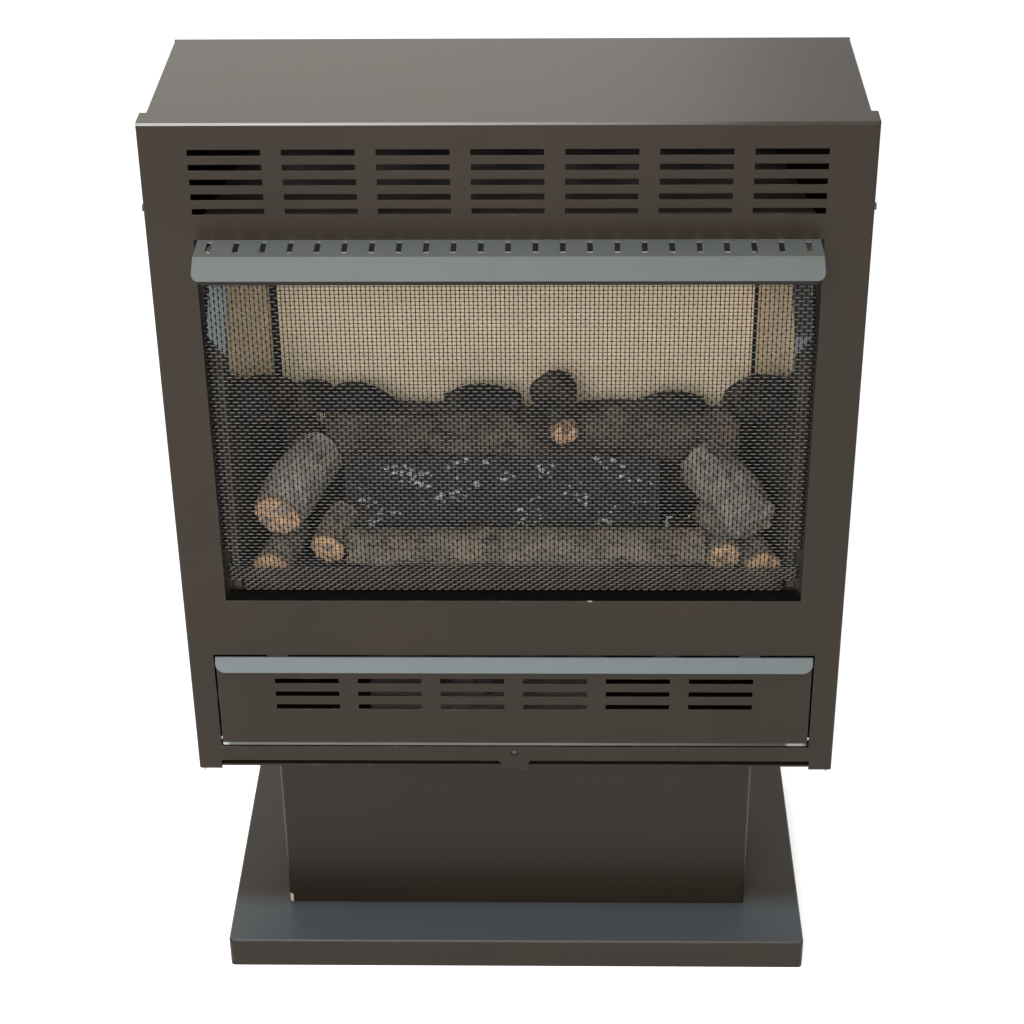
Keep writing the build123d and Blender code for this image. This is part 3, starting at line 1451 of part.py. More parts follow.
fire = fire_set()
hanger = screen_hanger_right()
liner = right_liner()
nodes = {
    "base_plate": base_plate(),
    "base_stiffener": base_stiffener(),
    "column_shell": column_shell(),
    "column_back": column_back(),
    "pedestal_bolts": pedestal_bolts(),
    "bottom_pan": bottom_pan(),
    "cabinet_shell": cabinet_shell(),
    "back_panel": back_panel(),
    "back_screws": back_screws(),
    "front_surround": front_surround(),
    "front_screws": front_screws(),
    "hood": hood(),
    "mesh_screen": mesh_screen(),
    "screen_hanger_right": hanger,
    "screen_hanger_left": mirrored(hanger),
    "firebox_shell": firebox_shell(),
    "firebox_roof": firebox_roof(),
    "firebox_floor": firebox_floor(),
    "back_liner": back_liner(),
    "right_liner": liner,
    "left_liner": mirrored(liner),
    "burner_pan": burner_pan(),
    "burner_venturi": burner_venturi(),
    "pilot_bracket": pilot_bracket(),
    "pilot_burner": pilot_burner(),
    "thermocouple": thermocouple(),
    "igniter_electrode": igniter_electrode(),
    "control_bracket": control_bracket(),
    "gas_valve": gas_valve(),
    "valve_stem": valve_stem(),
    "gas_knob": knob(gas_knob_x),
    "flame_knob": knob(flame_knob_x),
    "igniter_body": igniter_body(),
    "igniter_button": igniter_button(),
    "igniter_spring": igniter_spring(),
    "igniter_wire": igniter_wire(),
    "regulator": regulator(),
    "gas_inlet_fitting": gas_inlet_fitting(),
    "gas_tubes": gas_tubes(),
    "control_door": control_door(),
    "door_hinges": door_hinges(),
    "door_magnets": door_magnets(),
}
nodes.update(fire)

os.makedirs("parts", exist_ok=True)
for name, piece in nodes.items():
    export_step(piece, f"parts/{name}.step")
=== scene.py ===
"""Dresses a vent-free gas stove: woven screen, ceramic logs and embers, folded trim, finishes and a pale studio."""
from math import ceil, cos, hypot, radians, sin, tau
from random import Random

import bmesh
import bpy
import numpy as np
from bpy.props import FloatProperty, FloatVectorProperty, IntProperty, PointerProperty
from bpy.types import Operator, Panel, PropertyGroup
from mathutils import Matrix, Vector, noise


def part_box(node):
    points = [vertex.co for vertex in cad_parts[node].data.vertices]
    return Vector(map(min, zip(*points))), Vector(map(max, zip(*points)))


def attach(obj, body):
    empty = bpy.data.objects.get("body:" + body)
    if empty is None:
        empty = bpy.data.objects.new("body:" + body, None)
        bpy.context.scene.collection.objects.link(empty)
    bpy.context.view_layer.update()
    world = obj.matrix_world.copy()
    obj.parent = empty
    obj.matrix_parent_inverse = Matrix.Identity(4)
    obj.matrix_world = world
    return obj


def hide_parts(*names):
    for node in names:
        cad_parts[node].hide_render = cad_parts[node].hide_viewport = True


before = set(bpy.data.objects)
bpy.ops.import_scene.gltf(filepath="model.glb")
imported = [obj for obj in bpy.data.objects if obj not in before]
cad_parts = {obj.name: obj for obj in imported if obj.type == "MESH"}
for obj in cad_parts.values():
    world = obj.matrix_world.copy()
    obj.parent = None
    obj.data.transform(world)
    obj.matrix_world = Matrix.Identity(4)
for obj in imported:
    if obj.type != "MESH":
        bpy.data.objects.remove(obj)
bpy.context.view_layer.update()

bl_info = {
    "name": "Gas Stove Dresser",
    "version": (1, 0, 0),
    "blender": (4, 5, 0),
    "location": "View3D > Sidebar > Stove",
    "description": "Builds the woven screen, logs, embers, finishes and studio of a vent-free gas stove",
    "category": "Object",
}

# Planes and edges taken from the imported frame, in metres
FRONT_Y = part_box("front_surround")[0].y
HEARTH_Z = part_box("firebox_floor")[1].z
SCREEN_LOW, SCREEN_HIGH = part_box("mesh_screen")
SCREEN_Y = SCREEN_LOW.y


def deep(distance):
    """The Y of a plane this far behind the front face."""
    return FRONT_Y + distance


def length_setting(name, description, default):
    """A length in metres for the panel."""
    return FloatProperty(name=name, description=description, default=default, unit="LENGTH")


def colour_setting(name, description, default):
    """A scene linear colour for the panel."""
    return FloatVectorProperty(
        name=name, description=description, subtype="COLOR", size=3, default=default, min=0, max=1)


class StoveSizes(PropertyGroup):
    """Sizes of the pieces that are modelled here."""

    wire: length_setting("Wire", "Diameter of the screen's wire", 0.00096)
    warp_pitch: length_setting("Warp pitch", "Distance between upright wires", 0.00435)
    weft_pitch: length_setting("Weft pitch", "Distance between level wires", 0.00398)
    broken_end: length_setting("Broken end", "Length over which a log's end shows pale wood", 0.012)
    bark_depth: length_setting("Bark depth", "Depth of the furrows in the bark", 0.0036)
    log_rings: length_setting("Ring spacing", "Length of log between modelled rings", 0.0016)
    log_sides: IntProperty(
        name="Log sides", description="Points round a modelled log", default=84, min=12)
    ember_count: IntProperty(
        name="Embers", description="Number of loose pieces on the ember bed", default=640, min=0)
    ember_size: length_setting("Ember size", "Mean radius of a loose piece", 0.0044)


class StoveFinishes(PropertyGroup):
    """Colours of the finishes, scene linear."""

    enamel: colour_setting("Enamel", "Dark brown enamel of the cabinet", (0.0200, 0.0135, 0.0080))
    foot_enamel: colour_setting("Foot enamel", "Enamel of the foot, a little cooler", (0.0195, 0.0140, 0.0085))
    # Painted reflection: the hood has the body's dark enamel, and this light cool grey stands for the overhead light
    # its faces reflect.
    hood_enamel: colour_setting("Hood enamel", "Grey enamel of the hood", (0.104, 0.114, 0.110))
    # Painted reflection: this grey on the door's lip stands for the light its sloping face reflects.
    lip_reflection: colour_setting("Lip enamel", "Grey of the lip along the top of the door", (0.122, 0.141, 0.145))
    # Painted shade: the column has the body's enamel, made darker here for the shade under the cabinet.
    column_enamel: colour_setting("Column enamel", "Enamel of the column", (0.0140, 0.0095, 0.0058))
    bare_metal: colour_setting("Bare metal", "Metal where an edge is rubbed through", (0.55, 0.52, 0.47))
    cloth: colour_setting("Screen", "Blackened wire", (0.010, 0.009, 0.0085))
    # The screen crowns colour is a painted highlight, for light caught where level wires cross in front.
    cloth_crown_highlight: colour_setting("Screen crowns", "Wire rubbed bright where it crosses in front", (0.235, 0.230, 0.222))
    liner: colour_setting("Liner", "Pale board of the firebox", (0.92, 0.765, 0.545))
    bark: colour_setting("Bark", "Ridges of the bark", (0.25, 0.20, 0.150))
    cut_wood: colour_setting("Cut ends", "Sawn ends of the logs", (0.80, 0.50, 0.285))
    char: colour_setting("Char", "Burnt bark", (0.020, 0.018, 0.017))
    ash: colour_setting("Ash", "Pale ash on the embers", (0.56, 0.58, 0.58))
    button: colour_setting("Igniter button", "Red plastic", (0.55, 0.025, 0.015))


# Node materials

class Recipe:
    """A node material that is built up on one Principled shader."""

    def __init__(self, name, **sockets):
        self.material = bpy.data.materials.new(name + "_finish")
        self.material.use_nodes = True
        self.tree = self.material.node_tree
        self.shader = self.tree.nodes["Principled BSDF"]
        self.place = self.add("ShaderNodeTexCoord").outputs["Object"]
        for socket, value in sockets.items():
            self.shader.inputs[socket.replace("_", " ")].default_value = value

    def add(self, kind, **settings):
        """A node with its settings."""
        node = self.tree.nodes.new(kind)
        for setting, value in settings.items():
            setattr(node, setting, value)
        return node

    def feed(self, socket, value):
        """Sets a socket to a value, or links it to another socket."""
        if isinstance(value, bpy.types.NodeSocket):
            self.tree.links.new(value, socket)
        elif hasattr(socket.default_value, "__len__") and hasattr(value, "__len__"):
            socket.default_value = (*value[:3], 1.0)[:len(socket.default_value)]
        elif hasattr(socket.default_value, "__len__"):
            socket.default_value = (value, value, value, 1.0)[:len(socket.default_value)]
        else:
            socket.default_value = value

    def stretched(self, x, y, z):
        """Object coordinates, scaled on each axis."""
        node = self.add("ShaderNodeMapping")
        self.feed(node.inputs["Vector"], self.place)
        node.inputs["Scale"].default_value = (x, y, z)
        return node.outputs["Vector"]

    def noise(self, scale, detail=4.0, roughness=0.5, where=None):
        """Cloudy noise, from 0 to 1."""
        node = self.add("ShaderNodeTexNoise")
        self.feed(node.inputs["Vector"], where or self.place)
        node.inputs["Scale"].default_value = scale
        node.inputs["Detail"].default_value = detail
        node.inputs["Roughness"].default_value = roughness
        return node.outputs["Fac"]

    def math(self, operation, first, second=0.0):
        """One arithmetic step."""
        node = self.add("ShaderNodeMath", operation=operation)
        self.feed(node.inputs[0], first)
        self.feed(node.inputs[1], second)
        return node.outputs["Value"]

    def times(self, first, second):
        """One value times another."""
        return self.math("MULTIPLY", first, second)

    def spread(self, value, low, high, to_low=0.0, to_high=1.0):
        """A value mapped from one range onto another, and clamped."""
        node = self.add("ShaderNodeMapRange", clamp=True)
        for socket, number in zip(node.inputs, (value, low, high, to_low, to_high)):
            self.feed(socket, number)
        return node.outputs["Result"]

    def mix(self, share, first, second):
        """Two colours mixed by a share."""
        node = self.add("ShaderNodeMix", data_type="RGBA")
        self.feed(node.inputs["Factor"], share)
        self.feed(node.inputs[6], first)
        self.feed(node.inputs[7], second)
        return node.outputs[2]

    def attribute(self, name):
        """A number that is stored on the mesh's points."""
        return self.add("ShaderNodeAttribute", attribute_name=name).outputs["Fac"]

    def axis(self, name):
        """One object coordinate, in metres."""
        node = self.add("ShaderNodeSeparateXYZ")
        self.feed(node.inputs[0], self.place)
        return node.outputs[name]

    def within(self, low, high, soft):
        """1 inside a box, fading to 0 over a distance outside it, or over one for each axis."""
        total = None
        fades = soft if hasattr(soft, "__len__") else (soft, soft, soft)
        for name, start, end, fade in zip("XYZ", low, high, fades):
            gap = self.math("ABSOLUTE", self.math("SUBTRACT", self.axis(name), (start + end) / 2))
            half = (end - start) / 2
            share = self.spread(gap, half, half + fade, 1.0, 0.0)
            total = share if total is None else self.times(total, share)
        return total

    def edge(self, radius):
        """1 along the folds and rims of the mesh, and 0 on its faces."""
        bevel = self.add("ShaderNodeBevel", samples=4)
        bevel.inputs["Radius"].default_value = radius
        product = self.add("ShaderNodeVectorMath", operation="DOT_PRODUCT")
        self.feed(product.inputs[0], bevel.outputs["Normal"])
        self.feed(product.inputs[1], self.add("ShaderNodeNewGeometry").outputs["Normal"])
        return self.spread(product.outputs["Value"], 0.80, 0.985, 1.0, 0.0)

    def bump(self, height, distance, strength=1.0, under=None):
        """Fine relief."""
        node = self.add("ShaderNodeBump")
        node.inputs["Strength"].default_value = strength
        node.inputs["Distance"].default_value = distance
        self.feed(node.inputs["Height"], height)
        if under is not None:
            self.feed(node.inputs["Normal"], under)
        return node.outputs["Normal"]

    def rounded(self, radius):
        """A normal that softens sharp edges."""
        node = self.add("ShaderNodeBevel", samples=4)
        node.inputs["Radius"].default_value = radius
        return node.outputs["Normal"]

    def finish(self, **sockets):
        """Sets or links the shader's sockets, and gives the material."""
        for socket, value in sockets.items():
            self.feed(self.shader.inputs[socket.replace("_", " ")], value)
        return self.material


def enamel(name, colour, bare, wear=0.5, roughness=0.36, patches=()):
    """Satin enamel on sheet steel: faint mottle, orange peel, dust, rubbed edges, and patches of other colours."""
    paint = Recipe(name, Specular_IOR_Level=0.23)
    cloud = paint.noise(5.0, 3.0)
    fine = paint.noise(160.0, 4.0, 0.6)
    colour_now = paint.mix(paint.spread(cloud, 0.3, 0.7), [c * 0.90 for c in colour], [c * 1.10 for c in colour])
    dust = paint.spread(paint.noise(620.0, 2.0, 0.7), 0.70, 0.78)
    colour_now = paint.mix(paint.times(dust, 0.14), colour_now, (0.20, 0.18, 0.16))
    rubbed_and_highlight = paint.times(paint.edge(0.0011), paint.spread(paint.noise(34.0, 5.0, 0.7), 0.56, 0.72))
    colour_now = paint.mix(paint.times(rubbed_and_highlight, wear), colour_now, bare)
    for tint, low, high, soft in patches:
        colour_now = paint.mix(paint.within(low, high, soft), colour_now, tint)
    gloss = paint.spread(fine, 0.3, 0.7, roughness - 0.012, roughness + 0.015)
    peel = paint.bump(paint.noise(1100.0, 2.0), 0.00002, 0.4, paint.rounded(0.0009))
    return paint.finish(Base_Color=colour_now, Roughness=gloss, Normal=peel)


def plain_metal(name, colour, roughness=0.38, metallic=1.0, soot_and_shade=0.0):
    """Bare or plated metal with faint drawing marks, and soot where there is any."""
    metal = Recipe(name, Metallic=metallic)
    drawn = metal.noise(90.0, 5.0, 0.6, metal.stretched(1.0, 0.12, 1.0))
    colour_now = metal.mix(metal.spread(drawn, 0.3, 0.7), [c * 0.8 for c in colour], colour)
    dirt = metal.times(metal.spread(metal.noise(9.0, 6.0, 0.6), 0.42, 0.62), soot_and_shade)
    colour_now = metal.mix(dirt, colour_now, (0.02, 0.018, 0.016))
    gloss = metal.spread(metal.noise(45.0, 4.0), 0.3, 0.7, roughness - 0.07, roughness + 0.1)
    relief = metal.bump(drawn, 0.00005, 0.5, metal.rounded(0.0005))
    return metal.finish(Base_Color=colour_now, Roughness=gloss, Normal=relief)


def moulded(name, colour, roughness=0.45):
    """Moulded plastic or rubber with a fine grain."""
    plastic = Recipe(name)
    tone = plastic.mix(plastic.noise(30.0, 3.0), [c * 0.85 for c in colour], [min(1, c * 1.12) for c in colour])
    gloss = plastic.spread(plastic.noise(120.0, 3.0), 0.3, 0.7, roughness - 0.05, roughness + 0.05)
    grain = plastic.bump(plastic.noise(1500.0, 2.0), 0.00003, 0.5, plastic.rounded(0.0005))
    return plastic.finish(Base_Color=tone, Roughness=gloss, Normal=grain)


# Painted shade on the liners, in metres above the firebox floor or behind the front: low down and rising towards the
# corners, below a slope on the side liners, and in a strip just behind the front. A pair is where a fade starts and
# ends.
SIDE_LINERS = (0.2558, 0.2590)
SIDE_SHADE_TOP, SIDE_SHADE_DEPTH, SIDE_SHADE_FALL = 0.262, 0.014, -0.584
SIDE_SHADE_EDGE = (-0.004, 0.006)
SHADE_RAGGED = 0.045
CORNERS, CORNER_RISE = (0.19, 0.235), 0.045
LOW_SHADE = (0.080, 0.096)
FRONT_STRIP, FRONT_STRIP_TOP = (0.047, 0.053), (0.296, 0.310)


def board(name, colour):
    """Pale fibre board: faint brushed fibres, warm blotches, and ragged painted shade low down, towards the corners,
    on the side liners and just behind the front.
    """
    fibre = Recipe(name, Roughness=0.92, Specular_IOR_Level=0.2)
    upright = fibre.noise(60.0, 6.0, 0.7, fibre.stretched(6.0, 6.0, 0.5))
    level = fibre.noise(60.0, 6.0, 0.7, fibre.stretched(0.5, 0.5, 6.0))
    weave = fibre.times(fibre.math("ADD", upright, level), 0.5)
    tone = fibre.mix(fibre.spread(weave, 0.38, 0.62), [c * 0.86 for c in colour], [min(1, c * 1.06) for c in colour])
    blotch = fibre.spread(fibre.noise(7.0, 4.0), 0.45, 0.75, 0.0, 0.35)
    tone = fibre.mix(blotch, tone, (colour[0] * 0.86, colour[1] * 0.78, colour[2] * 0.66))
    fall = fibre.times(fibre.math("SUBTRACT", fibre.axis("Y"), deep(SIDE_SHADE_DEPTH)), SIDE_SHADE_FALL)
    line = fibre.math("ADD", fall, HEARTH_Z + SIDE_SHADE_TOP)
    ragged = fibre.times(fibre.math("SUBTRACT", fibre.noise(38.0, 5.0, 0.6), 0.5), SHADE_RAGGED)
    above = fibre.math("ADD", fibre.math("SUBTRACT", fibre.axis("Z"), line), ragged)
    aside = fibre.spread(fibre.math("ABSOLUTE", fibre.axis("X")), *SIDE_LINERS)
    soot_and_shade = fibre.times(fibre.spread(above, *SIDE_SHADE_EDGE, 1.0, 0.0), aside)
    corner = fibre.spread(fibre.math("ABSOLUTE", fibre.axis("X")), *CORNERS, 0.0, CORNER_RISE)
    low = fibre.math("SUBTRACT", fibre.math("ADD", fibre.axis("Z"), ragged), corner)
    soot_and_shade = fibre.math("MAXIMUM", soot_and_shade, fibre.spread(low, *(HEARTH_Z + z for z in LOW_SHADE), 1.0, 0.0))
    ahead = fibre.spread(fibre.axis("Y"), *(deep(y) for y in FRONT_STRIP), 1.0, 0.0)
    under = fibre.spread(fibre.axis("Z"), *(HEARTH_Z + z for z in FRONT_STRIP_TOP), 1.0, 0.0)
    soot_and_shade = fibre.math("MAXIMUM", soot_and_shade, fibre.times(ahead, under))
    # Painted shade: under this mask the liner goes near black.
    shade_black = fibre.mix(fibre.noise(90.0, 4.0), (0.006, 0.005, 0.005), (0.050, 0.046, 0.042))
    tone = fibre.mix(fibre.times(soot_and_shade, 0.96), tone, shade_black)
    return fibre.finish(Base_Color=tone, Normal=fibre.bump(weave, 0.0004, 0.5))


def bark_finish(name, colours):
    """Ceramic bark: furrows darkened as painted shade, pale ridges, sawn ends with rings, and char where the mesh says
    so.
    """
    bark = Recipe(name, Roughness=0.88, Specular_IOR_Level=0.25)
    relief, cut, rings, burnt, weathered = (
        bark.attribute(a) for a in ("relief", "cut", "rings", "burnt", "weathered"))
    streak = bark.noise(210.0, 5.0, 0.65)
    # The relief darkens the furrows of every skin below, the char too: painted shade in the bark's hollows.
    light = bark.math("ADD", bark.times(relief, 0.75), bark.times(streak, 0.30))
    brown = bark.mix(bark.spread(light, 0.24, 0.84), [c * 0.16 for c in colours.bark], colours.bark)
    grey = bark.mix(bark.spread(light, 0.14, 0.72), (0.060, 0.055, 0.049), (0.42, 0.395, 0.35))
    skin = bark.mix(weathered, brown, grey)
    patch = bark.spread(bark.noise(26.0, 4.0, 0.6), 0.50, 0.68)
    warm = bark.mix(bark.spread(light, 0.3, 0.9), (0.05, 0.034, 0.024), (0.46, 0.30, 0.185))
    skin = bark.mix(bark.times(patch, 0.45), skin, warm)
    pale = bark.times(bark.spread(light, 0.74, 0.98), bark.spread(bark.noise(70.0, 4.0), 0.45, 0.62))
    skin = bark.mix(bark.times(pale, 0.55), skin, (0.40, 0.36, 0.31))
    coal = bark.mix(bark.spread(light, 0.35, 0.95), (0.006, 0.006, 0.006), [c * 1.6 for c in colours.char])
    ashen = bark.times(bark.spread(light, 0.72, 0.95), bark.spread(bark.noise(55.0, 5.0), 0.52, 0.66))
    coal = bark.mix(bark.times(ashen, 0.28), coal, colours.ash)
    skin = bark.mix(burnt, skin, coal)
    year = bark.math("SINE", bark.times(rings, 62.0))
    year = bark.math("ADD", bark.times(year, 0.22), bark.noise(150.0, 5.0, 0.7))
    sawn = bark.mix(bark.spread(year, 0.22, 0.70), [c * 0.45 for c in colours.cut_wood], colours.cut_wood)
    dark_patch = bark.spread(bark.noise(62.0, 4.0), 0.55, 0.66)
    sawn = bark.mix(bark.times(dark_patch, 0.7), sawn, (0.085, 0.060, 0.045))
    rim = bark.spread(rings, 0.80, 1.0)
    sawn = bark.mix(bark.times(rim, 0.35), sawn, (0.10, 0.070, 0.048))
    tone = bark.mix(cut, skin, sawn)
    return bark.finish(Base_Color=tone, Normal=bark.bump(streak, 0.0012, 0.7))


def ember_finish(name, colours):
    """Dark lumps of ember, each with its own share of pale ash."""
    coal = Recipe(name, Roughness=0.93, Specular_IOR_Level=0.2)
    share = coal.attribute("ash")
    grit = coal.noise(420.0, 5.0, 0.7)
    base = coal.mix(grit, (0.012, 0.011, 0.011), (0.085, 0.080, 0.075))
    cover = coal.math("ADD", coal.times(share, 0.75), coal.times(grit, 0.55))
    tone = coal.mix(coal.spread(cover, 0.62, 0.92), base, colours.ash)
    return coal.finish(Base_Color=tone, Normal=coal.bump(grit, 0.0008, 0.8))


def cloth_finish(name, colour, crown_highlight_colour):
    """Blackened wire, with a painted highlight where a level wire crosses in front."""
    wire = Recipe(name, Specular_IOR_Level=0.0)
    patchy = wire.spread(wire.noise(55.0, 4.0, 0.6), 0.30, 0.70, 0.62, 1.0)
    # Painted highlight on the crowns, varied by noise.
    crown_highlight = wire.times(wire.attribute("crown_highlight"), wire.spread(wire.noise(900.0, 3.0), 0.25, 0.60, 0.45, 1.0))
    crown_highlight = wire.times(wire.spread(crown_highlight, 0.08, 0.60), patchy)
    tone = wire.mix(crown_highlight, colour, crown_highlight_colour)
    gloss = wire.spread(wire.noise(400.0, 2.0), 0.3, 0.7, 0.5, 0.65)
    return wire.finish(Base_Color=tone, Roughness=gloss)


# Meshes

def make_piece(name, points, faces, material, body, attributes=None, smooth=True):
    """A mesh object that rides on a body, with numbers stored on its points."""
    mesh = bpy.data.meshes.new(name)
    mesh.from_pydata([tuple(p) for p in points], [], faces)
    mesh.polygons.foreach_set("use_smooth", [smooth] * len(mesh.polygons))
    for key, values in (attributes or {}).items():
        layer = mesh.attributes.new(key, "FLOAT", "POINT")
        layer.data.foreach_set("value", np.asarray(values, np.float32))
    mesh.update()
    solid = bmesh.new()
    solid.from_mesh(mesh)
    bmesh.ops.recalc_face_normals(solid, faces=solid.faces)
    solid.to_mesh(mesh)
    solid.free()
    piece = bpy.data.objects.new(name, mesh)
    bpy.context.scene.collection.objects.link(piece)
    mesh.materials.append(material)
    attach(piece, body)
    return piece


def sleeve(first, spans, count):
    """Four-sided faces that join each ring of points to the next one, for a number of spans."""
    return [
        (a + k, a + (k + 1) % count, a + (k + 1) % count + count, a + k + count)
        for a in range(first, first + spans * count, count) for k in range(count)
    ]


# Painted highlight on the two sides of a wire, as shares of its crown: on a level wire the upper side is lit and the
# lower side dim
DIM_SIDE, LIT_SIDE = 0.35, 0.9


class Tubes:
    """Gathers many four-sided wires in one mesh."""

    def __init__(self, radius):
        self.radius = radius
        self.points, self.faces, self.crown_highlight = [], [], []

    def add(self, line, normals, crown_highlights):
        """One wire along a line, given the cloth's outward normal and the painted highlight of its crown at each
        point.
        """
        line, normals = np.asarray(line), np.asarray(normals)
        ahead = np.gradient(line, axis=0)
        ahead /= np.linalg.norm(ahead, axis=1, keepdims=True)
        across = np.cross(ahead, normals)
        across /= np.linalg.norm(across, axis=1, keepdims=True)
        outward = np.cross(across, ahead)
        first = len(self.points)
        for place, out, side, crown_highlight in zip(line, outward, across, crown_highlights):
            for direction, share in ((out, crown_highlight), (side, crown_highlight * DIM_SIDE), (-out, 0.0), (-side, crown_highlight * LIT_SIDE)):
                self.points.append(place + direction * self.radius)
                self.crown_highlight.append(share)
        self.faces += sleeve(first, len(line) - 1, 4)
        last = first + 4 * (len(line) - 1)
        self.faces.append((first + 3, first + 2, first + 1, first))
        self.faces.append((last, last + 1, last + 2, last + 3))


# The screen's shape, in metres. HEM_GAP is in wires, WIRE_LIFT in radii, and the painted highlight on the crowns of
# upright wires a share of full brightness.
SCREEN_TOP = SCREEN_HIGH.z
SCREEN_FOOT = SCREEN_LOW.z
HALF_WIDTH = SCREEN_HIGH.x
TAPER_WIDTH, TAPER_HEIGHT = 0.0058, 0.071
TOP_HALF_WIDTH = HALF_WIDTH - TAPER_WIDTH
TAPER_START = SCREEN_TOP - TAPER_HEIGHT
FOLD_RISE = 0.0494
FOLD_Z = SCREEN_FOOT + FOLD_RISE
FOLD_RUN = 0.015
RETURN_DEPTH = 0.012
NOTCH_ABOVE, NOTCH_BELOW, NOTCH_WIDTH = 0.008, 0.014, 0.0065
SHOULDER_DROP, SHOULDER_ROUND = 0.034, 0.003
FOOT_HALF_WIDTH = 0.2845
FIRST_WEFT = 0.0005
HEM_BELOW_FOLD = 0.016
HEM_STEP = 0.004
HEM_GAP = 2.1
WIRE_LIFT = 0.92
WARP_CROWN_HIGHLIGHT = 0.10


def half_width_at(z):
    """Half the width of the upright part of the screen at a height."""
    share = min(max((z - TAPER_START) / (SCREEN_TOP - TAPER_START), 0.0), 1.0)
    return HALF_WIDTH + share * (TOP_HALF_WIDTH - HALF_WIDTH)


def on_screen(across, down):
    """Where a point of the flat cloth lies on the folded screen: its place and outward normal, or None."""
    upright = SCREEN_TOP - FOLD_Z
    side = 1.0 if across >= 0 else -1.0
    reach = abs(across)
    if down <= upright:
        z = SCREEN_TOP - down
        half = half_width_at(z)
        if z < FOLD_Z + NOTCH_ABOVE:
            if reach > half - NOTCH_WIDTH:
                return None
            return (across, SCREEN_Y, z), (0.0, -1.0, 0.0)
        if reach <= half:
            return (across, SCREEN_Y, z), (0.0, -1.0, 0.0)
        if reach - half > RETURN_DEPTH:
            return None
        return (side * half, SCREEN_Y + reach - half, z), (side, 0.0, 0.0)
    drop_all = FOLD_Z - SCREEN_FOOT
    slope = hypot(drop_all, FOLD_RUN)
    share = (down - upright) / slope
    if share > 1.0:
        return None
    drop = share * drop_all
    limit = HALF_WIDTH - NOTCH_WIDTH * max(0.0, 1.0 - drop / NOTCH_BELOW)
    if drop > SHOULDER_DROP:
        limit = FOOT_HALF_WIDTH + SHOULDER_ROUND * (1.0 - min(1.0, (drop - SHOULDER_DROP) / SHOULDER_ROUND))
    if reach > limit:
        return None
    return (across, SCREEN_Y + share * FOLD_RUN, FOLD_Z - drop), (0.0, -drop_all / slope, -FOLD_RUN / slope)


def weave(name, sizes, material, shift, back, start):
    """One layer of plain-woven cloth from this far down the flat cloth, as upright wires and level wires."""
    radius = sizes.wire / 2
    lift = radius * WIRE_LIFT
    total = SCREEN_TOP - FOLD_Z + hypot(FOLD_Z - SCREEN_FOOT, FOLD_RUN)
    columns = int((HALF_WIDTH + RETURN_DEPTH) / sizes.warp_pitch)
    rows = int((total - start) / sizes.weft_pitch)
    across = [(j + shift) * sizes.warp_pitch for j in range(-columns, columns + 1)]
    down = [start + FIRST_WEFT + (i + shift) * sizes.weft_pitch for i in range(rows + 1)]
    grid = [[on_screen(u, v) for v in down] for u in across]
    made = []
    for part, outer, inner, flip, read in (
        ("warp", len(across), len(down), 1, lambda a, b: grid[a][b]),
        ("weft", len(down), len(across), -1, lambda a, b: grid[b][a]),
    ):
        tubes = Tubes(radius)
        for a in range(outer):
            line, normals, crown_highlights = [], [], []
            for b in range(inner + 1):
                spot = read(a, b) if b < inner else None
                if spot is None:
                    if len(line) > 1:
                        tubes.add(line, normals, crown_highlights)
                    line, normals, crown_highlights = [], [], []
                    continue
                over = flip if (a + b) % 2 == 0 else -flip
                place, normal = Vector(spot[0]), Vector(spot[1])
                line.append(place + normal * (over * lift - radius * 2 - back))
                normals.append(normal)
                # Painted highlight: crowns of level wires are bright and those of upright wires dim, as if lit from
                # above.
                crown_highlights.append((1.0 if flip < 0 else WARP_CROWN_HIGHLIGHT) if over > 0 else 0.0)
        made.append(make_piece(
            name + "_" + part, tubes.points, tubes.faces, material, "screen", {"crown_highlight": tubes.crown_highlight}))
    return made


def weave_screen(sizes, cloth, hem_cloth):
    """The wire cloth, with two more layers where its foot is hemmed."""
    upright = weave("screen", sizes, cloth, 0.0, 0.0, 0.0)
    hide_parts("mesh_screen")
    hem_start = SCREEN_TOP - FOLD_Z + HEM_BELOW_FOLD
    weave("screen_hem", sizes, hem_cloth, 0.5, sizes.wire * HEM_GAP, hem_start)
    weave("screen_hem_back", sizes, hem_cloth, 0.25, sizes.wire * 2 * HEM_GAP, hem_start + HEM_STEP)


